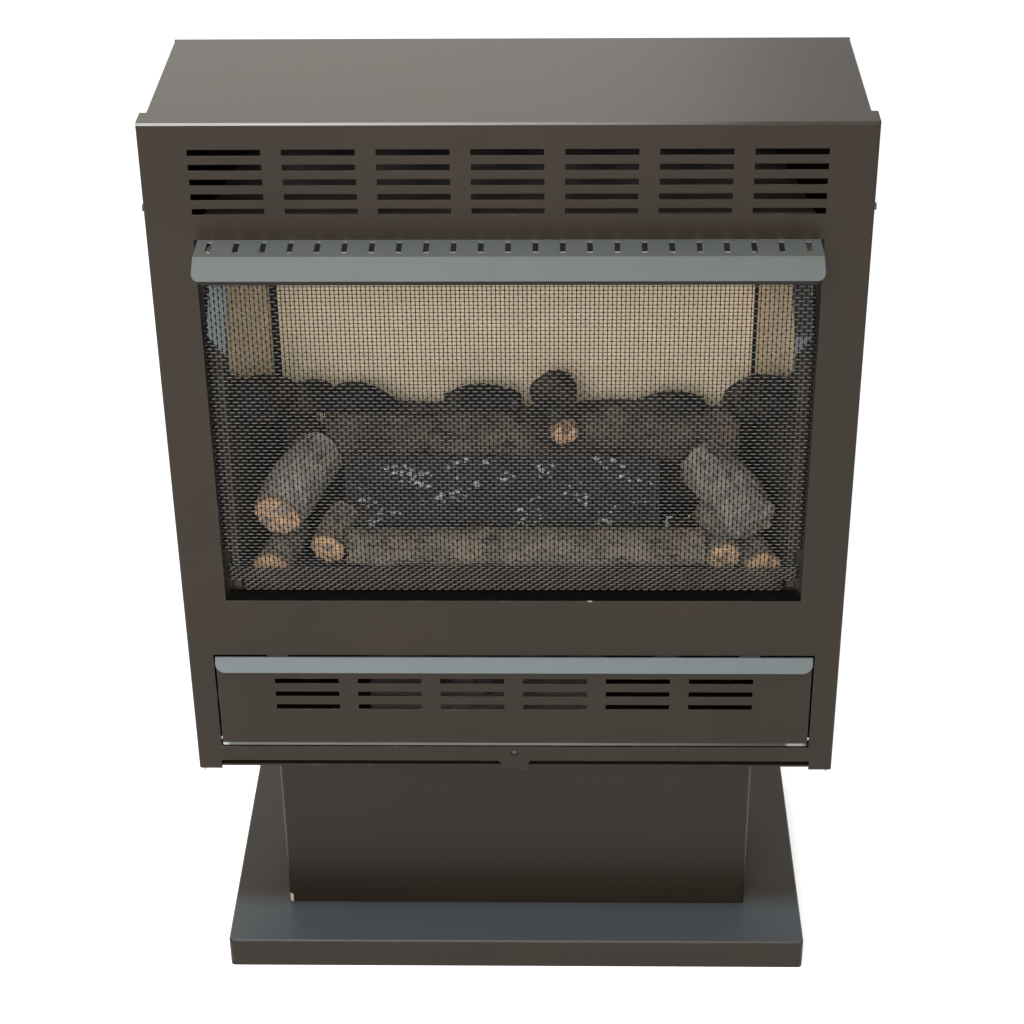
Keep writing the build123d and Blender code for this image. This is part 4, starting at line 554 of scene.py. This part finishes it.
# Logs: how burnt and weathered each is, whether its ends are sawn, and the X, depth, height above the firebox floor
# and radius at places along it, in metres
LOGS = {
    "front_log": dict(burnt=0.05, weathered=0.15, sawn=False, line=(
        (-0.172, 0.042, 0.042, 0.020), (-0.096, 0.041, 0.043, 0.022), (0.0, 0.043, 0.041, 0.021),
        (0.100, 0.041, 0.043, 0.022), (0.200, 0.042, 0.042, 0.020))),
    "rear_log": dict(burnt=0.62, sawn=False, line=(
        (-0.200, 0.150, 0.120, 0.028), (-0.104, 0.152, 0.122, 0.033), (0.012, 0.149, 0.119, 0.031),
        (0.118, 0.151, 0.122, 0.033), (0.240, 0.150, 0.117, 0.030))),
    "left_log": dict(burnt=0.0, weathered=0.85, line=(
        (-0.245, 0.036, 0.084, 0.026), (-0.233, 0.076, 0.094, 0.030), (-0.209, 0.130, 0.106, 0.029))),
    "right_log": dict(burnt=0.05, weathered=0.6, sawn=False, line=(
        (0.249, 0.040, 0.076, 0.029), (0.229, 0.078, 0.090, 0.031), (0.200, 0.118, 0.102, 0.029))),
    "centre_log": dict(burnt=0.85, line=(
        (0.055, 0.092, 0.150, 0.015), (0.048, 0.125, 0.160, 0.020), (0.042, 0.160, 0.165, 0.026))),
    "left_rear_log": dict(burnt=0.9, sawn=False, line=(
        (-0.266, 0.038, 0.220, 0.020), (-0.258, 0.098, 0.190, 0.025), (-0.246, 0.166, 0.150, 0.024))),
    "right_rear_log": dict(burnt=0.9, sawn=False, line=(
        (0.266, 0.038, 0.226, 0.020), (0.258, 0.098, 0.190, 0.025), (0.246, 0.166, 0.146, 0.024))),
    "left_front_log": dict(burnt=0.0, weathered=0.3, line=(
        (-0.194, 0.030, 0.047, 0.019), (-0.188, 0.058, 0.054, 0.018), (-0.180, 0.084, 0.058, 0.017))),
    "right_front_log": dict(burnt=0.0, weathered=0.3, line=(
        (0.221, 0.030, 0.037, 0.019), (0.216, 0.064, 0.044, 0.018), (0.208, 0.100, 0.050, 0.018))),
    "left_low_log": dict(burnt=0.0, weathered=0.3, line=(
        (-0.255, 0.030, 0.020, 0.021), (-0.246, 0.072, 0.021, 0.020), (-0.236, 0.112, 0.021, 0.018))),
    "right_low_log": dict(burnt=0.0, weathered=0.2, line=(
        (0.262, 0.030, 0.022, 0.021), (0.254, 0.070, 0.021, 0.019), (0.244, 0.112, 0.021, 0.018))),
    "left_char_log": dict(burnt=1.0, sawn=False, line=(
        (-0.240, 0.147, 0.156, 0.012), (-0.222, 0.149, 0.162, 0.019), (-0.206, 0.150, 0.162, 0.019),
        (-0.194, 0.151, 0.154, 0.012), (-0.180, 0.152, 0.158, 0.018), (-0.158, 0.153, 0.157, 0.018),
        (-0.128, 0.152, 0.146, 0.012))),
    "middle_char_log": dict(burnt=1.0, sawn=False, line=(
        (-0.070, 0.150, 0.154, 0.014), (-0.034, 0.154, 0.157, 0.017), (0.005, 0.152, 0.154, 0.013))),
    "right_char_log": dict(burnt=1.0, sawn=False, line=(
        (0.134, 0.150, 0.147, 0.012), (0.168, 0.154, 0.151, 0.016), (0.201, 0.152, 0.148, 0.012))),
}


# The logs' surface: lengths in metres, noise scales per metre, and shares of the radius and of the noise
LOG_BULGE = 0.07
RAGGED_END = 0.007
CAP_RINGS = 9
CAP_DOME, CAP_SPLIT = 0.0030, 0.0026
RIDGE_SCALE, LUMP_SCALE, CRACK_ROUND, CRACK_ALONG = 150, 42, 40, 115
CHAR_SCALE, CHUNK_SCALE, SPLIT_SCALE = 30, 95, 130
CRACK_WIDTH = 0.12


def along_log(stations, share):
    """Centre and radius at a share of the log's length, on a smooth line through its places."""
    spans = len(stations) - 1
    at = min(share * spans, spans - 1e-6)
    index, t = int(at), at - int(at)
    before, start = stations[max(index - 1, 0)], stations[index]
    end, after = stations[index + 1], stations[min(index + 2, spans)]
    curved = [
        0.5 * (2 * b + (c - a) * t + (2 * a - 5 * b + 4 * c - d) * t * t + (3 * b - a - 3 * c + d) * t ** 3)
        for a, b, c, d in zip(before, start, end, after)
    ]
    return Vector(curved[:3]), curved[3]


def log_heading(stations, share):
    """A short step along the log, at a share of its length."""
    return along_log(stations, min(share + 0.01, 1.0))[0] - along_log(stations, max(share - 0.01, 0.0))[0]


def bark_relief(turn, along, radius, seed):
    """Height of the bark, from about -1 to 1: long ridges broken by cross cracks."""
    spot = Vector((cos(turn) * radius, sin(turn) * radius, along * 0.30)) * RIDGE_SCALE
    ridges = 1.0 - 2.2 * abs(noise.fractal(spot + Vector((seed, 3.1, 0.0)), 0.9, 2.1, 4))
    lumps = noise.noise(Vector((cos(turn) * radius, sin(turn) * radius, along)) * LUMP_SCALE + Vector((0, seed, 7.7)))
    cracks = abs(noise.noise(Vector((
        cos(turn) * radius * CRACK_ROUND, sin(turn) * radius * CRACK_ROUND, along * CRACK_ALONG + seed))))
    return 0.62 * ridges + 0.5 * lumps - 0.5 * max(0.0, CRACK_WIDTH - cracks) / CRACK_WIDTH


def build_log(name, facts, sizes, material):
    """One log: rough bark round a bent line, closed by split, domed ends."""
    stations = [(x, deep(y), HEARTH_Z + z, r) for x, y, z, r in facts["line"]]
    length = sum((Vector(b[:3]) - Vector(a[:3])).length for a, b in zip(stations, stations[1:]))
    rings = ceil(length / sizes.log_rings)
    sides = sizes.log_sides
    seed = 13.7 * len(name) + ord(name[0]) + 3.3 * ord(name[-5])
    points, relief, cut, year, burnt = [], [], [], [], []
    for ring in range(rings + 1):
        share = ring / rings
        centre, radius = along_log(stations, share)
        ahead = log_heading(stations, share)
        across = ahead.cross(Vector((0, 0, 1))).normalized()
        up = across.cross(ahead).normalized()
        for side in range(sides):
            turn = tau * side / sides
            height = bark_relief(turn, share * length, radius, seed)
            bulge = 1.0 + LOG_BULGE * noise.noise(Vector((cos(turn), sin(turn), share * length * 14 + seed)))
            ragged = 0.0
            if ring in (0, rings):
                ragged = RAGGED_END * noise.noise(Vector((cos(turn) * 3, sin(turn) * 3, seed)))
            reach = (radius - sizes.bark_depth * 0.35) * bulge + sizes.bark_depth * 0.5 * height
            place = centre + across * (reach * cos(turn)) + up * (reach * sin(turn))
            points.append(place + ahead.normalized() * ragged * (1 if ring else -1))
            relief.append(min(1.0, max(0.0, 0.5 + 0.5 * height)))
            chunk = noise.noise(place * CHUNK_SCALE + Vector((0, seed, 0))) + 0.15
            near_front = 1.0 - share * length / sizes.broken_end
            cut.append(1.0 if near_front + 0.9 * chunk > 0.62 and near_front > 0 else 0.0)
            year.append(1.0)
            char = facts["burnt"] + 0.5 * noise.noise(place * CHAR_SCALE + Vector((seed, 0, 0)))
            burnt.append(min(1.0, max(0.0, char)))
    faces = sleeve(0, rings, sides)
    for start, direction in ((0, -1.0), (rings * sides, 1.0)):
        share = 0.0 if start == 0 else 1.0
        centre, radius = along_log(stations, share)
        ahead = log_heading(stations, share).normalized() * direction
        outer = list(range(start, start + sides))
        for cap in range(CAP_RINGS):
            inward = 1.0 - (cap + 0.35) / CAP_RINGS
            first = len(points)
            for side in range(sides):
                rim = Vector(points[start + side])
                place = centre + (rim - centre) * inward
                split = noise.noise(place * SPLIT_SCALE + Vector((0, 0, seed)))
                chunk = noise.noise(place * CHUNK_SCALE + Vector((0, seed, 0)))
                dome = CAP_DOME * (1 - inward ** 2) + CAP_SPLIT * split
                points.append(place + ahead * (dome - ahead.dot(place - centre)))
                relief.append(0.5 + 0.5 * split)
                cut.append(1.0 if chunk > -0.20 else 0.2)
                year.append(inward)
                burnt.append(min(1.0, facts["burnt"] * (0.6 if facts.get("sawn", True) else 1.3)))
            ring_now = list(range(first, first + sides))
            for side in range(sides):
                quad = (outer[side], outer[(side + 1) % sides], ring_now[(side + 1) % sides], ring_now[side])
                faces.append(quad if direction < 0 else quad[::-1])
            outer = ring_now
        faces.append(tuple(outer) if direction < 0 else tuple(outer[::-1]))
    if not facts.get("sawn", True):
        cut = [0.0] * len(cut)
    piece = make_piece(
        name + "_bark", points, [face[::-1] for face in faces], material, "stove",
        {"relief": relief, "cut": cut, "rings": year, "burnt": burnt,
         "weathered": [facts.get("weathered", 0.0)] * len(points)})
    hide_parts(name)


# The ember bed: its section (depth, height above the firebox floor) and lengths in metres, and its lumps
EMBER_PROFILE = ((0.0, 0.0348), (0.0, 0.053), (0.013, 0.0665), (0.027, 0.080), (0.044, 0.112), (0.045, 0.0348))
EMBER_COLUMNS, EMBER_ROWS = 150, 34
EMBER_ROUGHNESS = 0.0050
EMBER_INSET = 0.0002
EMBER_MARGIN = 0.006
EMBER_SEED = 7
LUMP_SHAPE = (1.25, 0.85, 0.7)


def build_embers(sizes, material):
    """The ember bed: a rough slope between the logs, strewn with loose lumps."""
    low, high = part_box("ember_bed")
    runs = [hypot(b[0] - a[0], b[1] - a[1]) for a, b in zip(EMBER_PROFILE, EMBER_PROFILE[1:])]
    points, ash = [], []

    def slope(x, share):
        """A point of the bed's surface, which is the first four runs of the section."""
        at = share * sum(runs[:4])
        for run, a, b in zip(runs, EMBER_PROFILE, EMBER_PROFILE[1:]):
            if at <= run or run == runs[3]:
                t = min(at / run, 1.0)
                break
            at -= run
        rough = EMBER_ROUGHNESS * noise.fractal(Vector((x * 60, share * 5, 2.0)), 0.8, 2.2, 4)
        return Vector((
            x, low.y + a[0] + t * (b[0] - a[0]), HEARTH_Z + a[1] + t * (b[1] - a[1]) + rough - 0.001))

    for column in range(EMBER_COLUMNS + 1):
        x = low.x + (high.x - low.x) * column / EMBER_COLUMNS
        for row in range(EMBER_ROWS + 1):
            points.append(slope(x, row / EMBER_ROWS))
            ash.append(0.15 + 0.2 * noise.noise(points[-1] * 60))
        front, back, under = low.y + EMBER_INSET, high.y - EMBER_INSET, low.z + EMBER_INSET
        points += [Vector((x, back, points[-1].z - 0.002)), Vector((x, back, under)), Vector((x, front, under))]
        ash += [0.0, 0.0, 0.0]
    wide = EMBER_ROWS + 4
    faces = sleeve(0, EMBER_COLUMNS, wide)
    faces.append(tuple(range(wide))[::-1])
    faces.append(tuple(EMBER_COLUMNS * wide + k for k in range(wide)))
    template = bpy.data.meshes.new("lump_template")
    ball = bmesh.new()
    bmesh.ops.create_icosphere(ball, subdivisions=2, radius=1.0)
    ball.to_mesh(template)
    ball.free()
    dice = Random(EMBER_SEED)
    shape = [v.co.copy() for v in template.vertices]
    lump_faces = [tuple(p.vertices) for p in template.polygons]
    bpy.data.meshes.remove(template)
    for index in range(sizes.ember_count):
        x = low.x + EMBER_MARGIN + (high.x - low.x - 2 * EMBER_MARGIN) * dice.random()
        share = 0.16 + 0.82 * dice.random()
        size = sizes.ember_size * (0.45 + 0.95 * dice.random() ** 1.4)
        centre = slope(x, share) + Vector((0, -size * 0.15, size * 0.25))
        centre.y = min(centre.y, high.y - size)
        drift = noise.noise(Vector((x * 26, share * 3.2, 4.0)))
        pale = drift + 0.45 * dice.random() > 0.40
        whiteness = 0.75 + 0.25 * dice.random() if pale else 0.4 * dice.random()
        size *= 0.62 if pale else 1.0
        first = len(points)
        for corner in shape:
            bumpy = 0.75 + 0.5 * noise.noise(corner * 1.7 + Vector((index * 5.3, 0, 0)))
            points.append(centre + Vector(c * w for c, w in zip(corner, LUMP_SHAPE)) * size * bumpy)
            ash.append(whiteness)
        faces += [tuple(first + v for v in face) for face in lump_faces]
    piece = make_piece("ember_heap", points, faces, material, "stove", {"ash": ash}, smooth=False)
    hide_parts("ember_bed")


# Folded trim: closed sections (Y, Z) from the lowest front corner of the node that carries them, in metres
ROOF_LIP = (
    (-0.0012, 0.004), (-0.0012, -0.0226), (-0.0008, -0.0235), (0.0004, -0.0238), (0.0012, -0.0232),
    (0.0014, -0.0210), (0.0006, -0.0210), (0.0003, -0.0224), (-0.0001, -0.0220), (-0.0001, 0.004),
)
HOOD_HEM = ((0.0002, 0.0008), (0.0002, -0.0024), (0.0007, -0.0031), (0.0013, -0.0024), (0.0013, 0.0008))
ROOF_LIP_HALF_WIDTH, HOOD_HEM_HALF_WIDTH = 0.284, 0.2895
STRIP_END = 0.002


def folded_strip(name, carrier, section, half_width, material):
    """A strip of sheet along a node, whose section runs from side to side."""
    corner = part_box(carrier)[0]
    count = len(section)
    stops = (-half_width, -half_width + STRIP_END, half_width - STRIP_END, half_width)
    points = [(x, corner.y + y, corner.z + z) for x in stops for y, z in section]
    faces = [tuple(range(count))[::-1], tuple(3 * count + k for k in range(count)), *sleeve(0, 3, count)]
    return make_piece(name, points, faces, material, "stove", smooth=False)


def fold_trim(lip_finish, hem_finish):
    """The lip under the front of the firebox roof, and the hem turned down along the hood."""
    folded_strip("roof_lip", "firebox_roof", ROOF_LIP, ROOF_LIP_HALF_WIDTH, lip_finish)
    folded_strip("hood_hem", "hood", HOOD_HEM, HOOD_HEM_HALF_WIDTH, hem_finish)


# Stage

CAMERA_PLACE = (0.04793, -2.12951, 1.81129)
CAMERA_YAW, CAMERA_PITCH, CAMERA_ROLL = radians(1.35), radians(31.59), radians(-0.67)
CAMERA_LENS = 81.46
SENSOR = 36.0
WORLD_LEVEL, WORLD_TINT = 0.36, (0.96, 0.98, 1.0)
FLOOR_SIZE, FLOOR_Y, FLOOR_GLOW = 24, 1.0, 0.55

# Lamps: name, place, what it points at, size, power and colour
LAMPS = (
    ("overhead", (-0.55, -0.75, 2.95), (-0.35, -0.55, 0.0), 2.2, 36.0, (0.98, 0.99, 1.0)),
    ("front", (-0.45, -3.0, 2.15), (0.0, 0.0, 0.66), 2.0, 122.0, (1.0, 0.99, 0.97)),
    ("back", (-0.6, 2.9, 2.5), (0.0, 0.0, 0.95), 2.3, 22.0, (1.0, 0.93, 0.82)),
)


def camera_axes():
    """The camera's right, up and backward directions."""
    right = Vector((cos(CAMERA_YAW), sin(CAMERA_YAW), 0.0))
    level = Vector((-sin(CAMERA_YAW), cos(CAMERA_YAW), 0.0))
    ahead = level * cos(CAMERA_PITCH) - Vector((0, 0, sin(CAMERA_PITCH)))
    up = level * sin(CAMERA_PITCH) + Vector((0, 0, cos(CAMERA_PITCH)))
    turned_right = right * cos(CAMERA_ROLL) + up * sin(CAMERA_ROLL)
    return turned_right, up * cos(CAMERA_ROLL) - right * sin(CAMERA_ROLL), -ahead


def seen_directly(tree):
    """1 for rays from the camera, in reflections and through glass, and 0 for the light itself."""
    path = tree.nodes.new("ShaderNodeLightPath")
    total = None
    for kind in ("Is Camera Ray", "Is Glossy Ray", "Is Transmission Ray"):
        if total is None:
            total = path.outputs[kind]
            continue
        step = tree.nodes.new("ShaderNodeMath")
        step.operation = "MAXIMUM"
        tree.links.new(total, step.inputs[0])
        tree.links.new(path.outputs[kind], step.inputs[1])
        total = step.outputs[0]
    return total


def white_world(level, tint):
    """Soft light from all round, which looks plain white wherever it is seen."""
    world = bpy.data.worlds.new("studio")
    world.use_nodes = True
    tree = world.node_tree
    dome = tree.nodes["Background"]
    dome.inputs["Color"].default_value = (*tint, 1)
    dome.inputs["Strength"].default_value = level
    plain = tree.nodes.new("ShaderNodeBackground")
    plain.inputs["Color"].default_value = (1, 1, 1, 1)
    mixer = tree.nodes.new("ShaderNodeMixShader")
    tree.links.new(seen_directly(tree), mixer.inputs[0])
    tree.links.new(dome.outputs[0], mixer.inputs[1])
    tree.links.new(plain.outputs[0], mixer.inputs[2])
    tree.links.new(mixer.outputs[0], tree.nodes["World Output"].inputs["Surface"])
    return world


def white_paper(glow):
    """Paper that takes the object's shadow, and glows just enough to look white where it is lit."""
    paper = Recipe("floor_paper", Roughness=0.9, Specular_IOR_Level=0.05)
    paper.finish(Base_Color=paper.mix(paper.noise(3.0), (0.80, 0.80, 0.80), (0.82, 0.82, 0.82)))
    light = paper.add("ShaderNodeEmission")
    light.inputs["Strength"].default_value = glow
    both = paper.add("ShaderNodeAddShader")
    mixer = paper.add("ShaderNodeMixShader")
    links = paper.tree.links
    links.new(paper.shader.outputs[0], both.inputs[0])
    links.new(light.outputs[0], both.inputs[1])
    links.new(seen_directly(paper.tree), mixer.inputs[0])
    links.new(paper.shader.outputs[0], mixer.inputs[1])
    links.new(both.outputs[0], mixer.inputs[2])
    links.new(mixer.outputs[0], paper.tree.nodes["Material Output"].inputs["Surface"])
    return paper.material


class STOVE_OT_stage(Operator):
    """Make the floor, the studio light and the camera"""

    bl_idname = "stove.stage"
    bl_label = "Stage"

    def execute(self, context):
        scene = context.scene
        scene.view_settings.view_transform = "Standard"
        scene.world = white_world(WORLD_LEVEL, WORLD_TINT)
        bpy.ops.mesh.primitive_plane_add(size=FLOOR_SIZE, location=(0, FLOOR_Y, 0))
        floor = context.active_object
        floor.name = "floor"
        floor.data.materials.append(white_paper(FLOOR_GLOW))
        for name, place, aim, size, power, colour in LAMPS:
            lamp = bpy.data.lights.new(name, "AREA")
            lamp.size = size
            lamp.energy = power
            lamp.color = colour
            light = bpy.data.objects.new(name, lamp)
            light.location = place
            light.rotation_euler = (Vector(aim) - Vector(place)).to_track_quat("-Z", "Y").to_euler()
            scene.collection.objects.link(light)
        lens = bpy.data.cameras.new("camera")
        lens.lens = CAMERA_LENS
        lens.sensor_width = SENSOR
        camera = bpy.data.objects.new("camera", lens)
        right, up, back = camera_axes()
        camera.matrix_world = Matrix((
            (right.x, up.x, back.x, CAMERA_PLACE[0]),
            (right.y, up.y, back.y, CAMERA_PLACE[1]),
            (right.z, up.z, back.z, CAMERA_PLACE[2]),
            (0, 0, 0, 1),
        ))
        scene.collection.objects.link(camera)
        scene.camera = camera
        return {"FINISHED"}


# What each finish covers

NODE_FINISHES = {
    "surround_enamel": ("front_surround",),
    "cabinet_enamel": ("cabinet_shell", "back_panel", "bottom_pan"),
    "column_enamel": ("column_shell", "column_back"),
    "door_enamel": ("control_door",),
    "foot_enamel": ("base_plate", "base_stiffener"),
    "hood_enamel": ("hood",),
    "screen_wire": ("mesh_screen",),
    "left_strap": ("screen_hanger_left",),
    "right_strap": ("screen_hanger_right",),
    "dark_screws": ("front_screws",),
    "zinc": ("back_screws", "pedestal_bolts", "door_hinges", "igniter_spring", "valve_stem"),
    "bracket_steel": ("control_bracket", "pilot_bracket", "rear_log_brackets"),
    "firebox_steel": ("firebox_shell", "firebox_roof", "firebox_floor", "burner_pan", "burner_venturi"),
    "grate_iron": ("log_grate",),
    "liner_board": ("back_liner", "left_liner", "right_liner"),
    "brass": ("gas_inlet_fitting", "pilot_burner", "thermocouple"),
    "aluminium": ("gas_valve", "regulator", "gas_tubes"),
    "black_plastic": ("gas_knob", "flame_knob", "igniter_body"),
    "red_plastic": ("igniter_button",),
    "silicone": ("igniter_wire",),
    "porcelain": ("igniter_electrode",),
    "ferrite": ("door_magnets",),
}


# Enamel patches: a colour, the corners of a box in metres, and the fade outside it, on all axes or on each
CRISP = 0.0004
# Painted sheen on the straps.
STRAP_SHEEN = (0.092, 0.103, 0.110)


def surround_patches():
    """Soot and painted shade on the sill of the fire, a chip in the sill, and a painted highlight along the fold at
    the top.
    """
    low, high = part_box("front_surround")
    sill_z = HEARTH_Z + 0.0015
    front, behind = FRONT_Y - 0.001, FRONT_Y + 0.0012
    soot_and_shade, chip, rubbed_and_highlight = (0.004, 0.0035, 0.003), (0.30, 0.25, 0.20), (0.30, 0.305, 0.30)
    fold_fade = (0.42, 0.0006, 0.0005)
    return (
        # Soot and painted shade on the sill just behind the front edge.
        (soot_and_shade, (-0.30, FRONT_Y + 0.0016, sill_z - 0.001), (0.30, FRONT_Y + 0.04, sill_z + 0.001), CRISP),
        (chip, (0.0785, front, sill_z - 0.0008), (0.0830, behind, sill_z + 0.001), CRISP),
        # Painted highlight along the top fold, fading out towards the right.
        (rubbed_and_highlight, (low.x, front, high.z - 0.0014), (-0.18, FRONT_Y + 0.0022, high.z + 0.001), fold_fade),
    )


def door_patches(lip_reflection):
    """A painted reflection on the lip along the top of the door, and a painted highlight along its lower edge,
    brightest at both ends.
    """
    low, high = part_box("control_door")
    # Painted reflection on the lip.
    lip = (lip_reflection, (-0.33, low.y - 0.01, high.z - 0.0150), (0.33, high.y, high.z), CRISP)
    # Painted highlight along the lower edge of the door, brighter at both ends.
    edge = [
        (tint, (start, low.y, low.z - 0.001), (end, high.y, low.z + 0.0032), (fade, CRISP, 0.0005))
        for tint, start, end, fade in (
            ((0.112, 0.114, 0.110), -0.33, 0.05, 0.30),
            ((0.38, 0.40, 0.39), -0.33, -0.3135, 0.004),
            ((0.24, 0.245, 0.24), 0.298, 0.312, 0.005),
        )
    ]
    return (lip, *edge)


def column_patches():
    """A pale spot at the foot of the column's left front corner."""
    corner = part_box("column_shell")[0]
    return (((0.44, 0.39, 0.27), (corner.x - 0.001, corner.y - 0.002, corner.z + 0.001),
             (corner.x + 0.0035, corner.y + 0.003, corner.z + 0.011), 0.001),)


def foot_patches():
    """Painted reflection: a cooler, lighter grey along the top of the foot, in front of the column."""
    low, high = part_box("base_plate")
    return (((0.058, 0.066, 0.071), (low.x, low.y, high.z - 0.0003),
             (high.x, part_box("column_shell")[0].y - 0.012, high.z + 0.001), (0.001, 0.035, 0.0006)),)


def strap_patches():
    """Painted sheen: the grey tip at the lower end of the dark right strap."""
    low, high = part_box("screen_hanger_right")
    return ((STRAP_SHEEN, (low.x, low.y, low.z), (high.x, high.y, low.z + 0.018), 0.004),)


def make_finishes(colours):
    """Every material, by name.

    After the colours come wear and roughness for enamel, roughness, metal and soot for metal, and roughness
    for what is moulded.
    """
    bare = colours.bare_metal
    recipes = {
        "surround_enamel": (enamel, colours.enamel, bare, 0.40, 0.36, surround_patches()),
        "cabinet_enamel": (enamel, colours.enamel, bare, 0.40, 0.36),
        # Painted shade in the column's darker enamel.
        "column_enamel": (enamel, colours.column_enamel, bare, 0.30, 0.38, column_patches()),
        "door_enamel": (enamel, colours.enamel, bare, 0.45, 0.36, door_patches(colours.lip_reflection)),
        "foot_enamel": (enamel, colours.foot_enamel, bare, 0.35, 0.40, foot_patches()),
        # Painted reflection in the hood's grey.
        "hood_enamel": (enamel, colours.hood_enamel, bare, 0.45, 0.33),
        # Painted shade: the hem's enamel is near black, darker than the body's, for the shade under the hood's edge.
        "hood_hem": (enamel, (0.006, 0.005, 0.004), bare, 0.0, 0.6),
        # The second colour of both screens is a painted highlight on the crowns.
        "screen_wire": (cloth_finish, colours.cloth, colours.cloth_crown_highlight),
        "hem_wire": (cloth_finish, (0.022, 0.016, 0.013), (0.200, 0.155, 0.125)),
        # Painted sheen: both straps are one dark steel; the left is grey all over and the right only at its tip, for
        # the light each catches.
        "left_strap": (enamel, STRAP_SHEEN, bare, 0.2, 0.45),
        "right_strap": (enamel, (0.012, 0.011, 0.010), bare, 0.1, 0.5, strap_patches()),
        "dark_screws": (plain_metal, (0.070, 0.062, 0.055), 0.4, 0.7, 0.2),
        "zinc": (plain_metal, (0.42, 0.42, 0.40), 0.38),
        "bracket_steel": (plain_metal, (0.090, 0.086, 0.080), 0.5, 0.6, 0.5),
        "firebox_steel": (plain_metal, (0.050, 0.046, 0.042), 0.6, 0.3, 0.7),
        "grate_iron": (plain_metal, (0.030, 0.028, 0.026), 0.7, 0.2, 0.4),
        "liner_board": (board, colours.liner),
        "brass": (plain_metal, (0.50, 0.35, 0.13), 0.36),
        "aluminium": (plain_metal, (0.20, 0.20, 0.195), 0.48, 0.9, 0.3),
        "black_plastic": (moulded, (0.022, 0.022, 0.022), 0.42),
        "red_plastic": (moulded, colours.button, 0.28),
        "silicone": (moulded, (0.45, 0.42, 0.37), 0.6),
        "porcelain": (moulded, (0.78, 0.76, 0.71), 0.25),
        "ferrite": (plain_metal, (0.07, 0.07, 0.075), 0.5, 0.4),
        "bark": (bark_finish, colours),
        "embers": (ember_finish, colours),
    }
    return {name: make(name, *facts) for name, (make, *facts) in recipes.items()}


class STOVE_OT_finishes(Operator):
    """Give each listed node its finish"""

    bl_idname = "stove.finishes"
    bl_label = "Finishes"

    def execute(self, context):
        made = make_finishes(context.scene.stove_finishes)
        for finish, nodes in NODE_FINISHES.items():
            for node in nodes:
                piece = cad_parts[node]
                piece.data.materials.clear()
                piece.data.materials.append(made[finish])
        return {"FINISHED"}


class STOVE_OT_trim(Operator):
    """Fold the lip of the firebox roof and the hem of the hood"""

    bl_idname = "stove.trim"
    bl_label = "Trim"

    def execute(self, context):
        fold_trim(bpy.data.materials["grate_iron_finish"], bpy.data.materials["hood_hem_finish"])
        return {"FINISHED"}


class STOVE_OT_screen(Operator):
    """Weave the wire cloth of the screen"""

    bl_idname = "stove.screen"
    bl_label = "Wire screen"

    def execute(self, context):
        materials = bpy.data.materials
        weave_screen(context.scene.stove_sizes, materials["screen_wire_finish"], materials["hem_wire_finish"])
        return {"FINISHED"}


class STOVE_OT_logs(Operator):
    """Model the bark and sawn ends of the ceramic logs"""

    bl_idname = "stove.logs"
    bl_label = "Logs"

    def execute(self, context):
        for name, facts in LOGS.items():
            build_log(name, facts, context.scene.stove_sizes, bpy.data.materials["bark_finish"])
        return {"FINISHED"}


class STOVE_OT_embers(Operator):
    """Heap the ember bed"""

    bl_idname = "stove.embers"
    bl_label = "Embers"

    def execute(self, context):
        build_embers(context.scene.stove_sizes, bpy.data.materials["embers_finish"])
        return {"FINISHED"}


class VIEW3D_PT_stove(Panel):
    """The stove's steps and settings"""

    bl_label = "Stove"
    bl_space_type = "VIEW_3D"
    bl_region_type = "UI"
    bl_category = "Stove"

    def draw(self, context):
        for group in (context.scene.stove_sizes, context.scene.stove_finishes):
            box = self.layout.box()
            for key in group.__annotations__:
                box.prop(group, key)
        for step in STEPS:
            self.layout.operator(step.bl_idname)


STEPS = (STOVE_OT_stage, STOVE_OT_finishes, STOVE_OT_trim, STOVE_OT_screen, STOVE_OT_logs, STOVE_OT_embers)
CLASSES = (StoveSizes, StoveFinishes, *STEPS, VIEW3D_PT_stove)


def register():
    for each in CLASSES:
        bpy.utils.register_class(each)
    bpy.types.Scene.stove_sizes = PointerProperty(type=StoveSizes)
    bpy.types.Scene.stove_finishes = PointerProperty(type=StoveFinishes)


def unregister():
    del bpy.types.Scene.stove_finishes
    del bpy.types.Scene.stove_sizes
    for each in reversed(CLASSES):
        bpy.utils.unregister_class(each)


def main():
    """Builds everything in order."""
    register()
    bpy.ops.stove.stage()
    bpy.ops.stove.finishes()
    bpy.ops.stove.trim()
    bpy.ops.stove.screen()
    bpy.ops.stove.logs()
    bpy.ops.stove.embers()


if __name__ == "__main__":
    main()
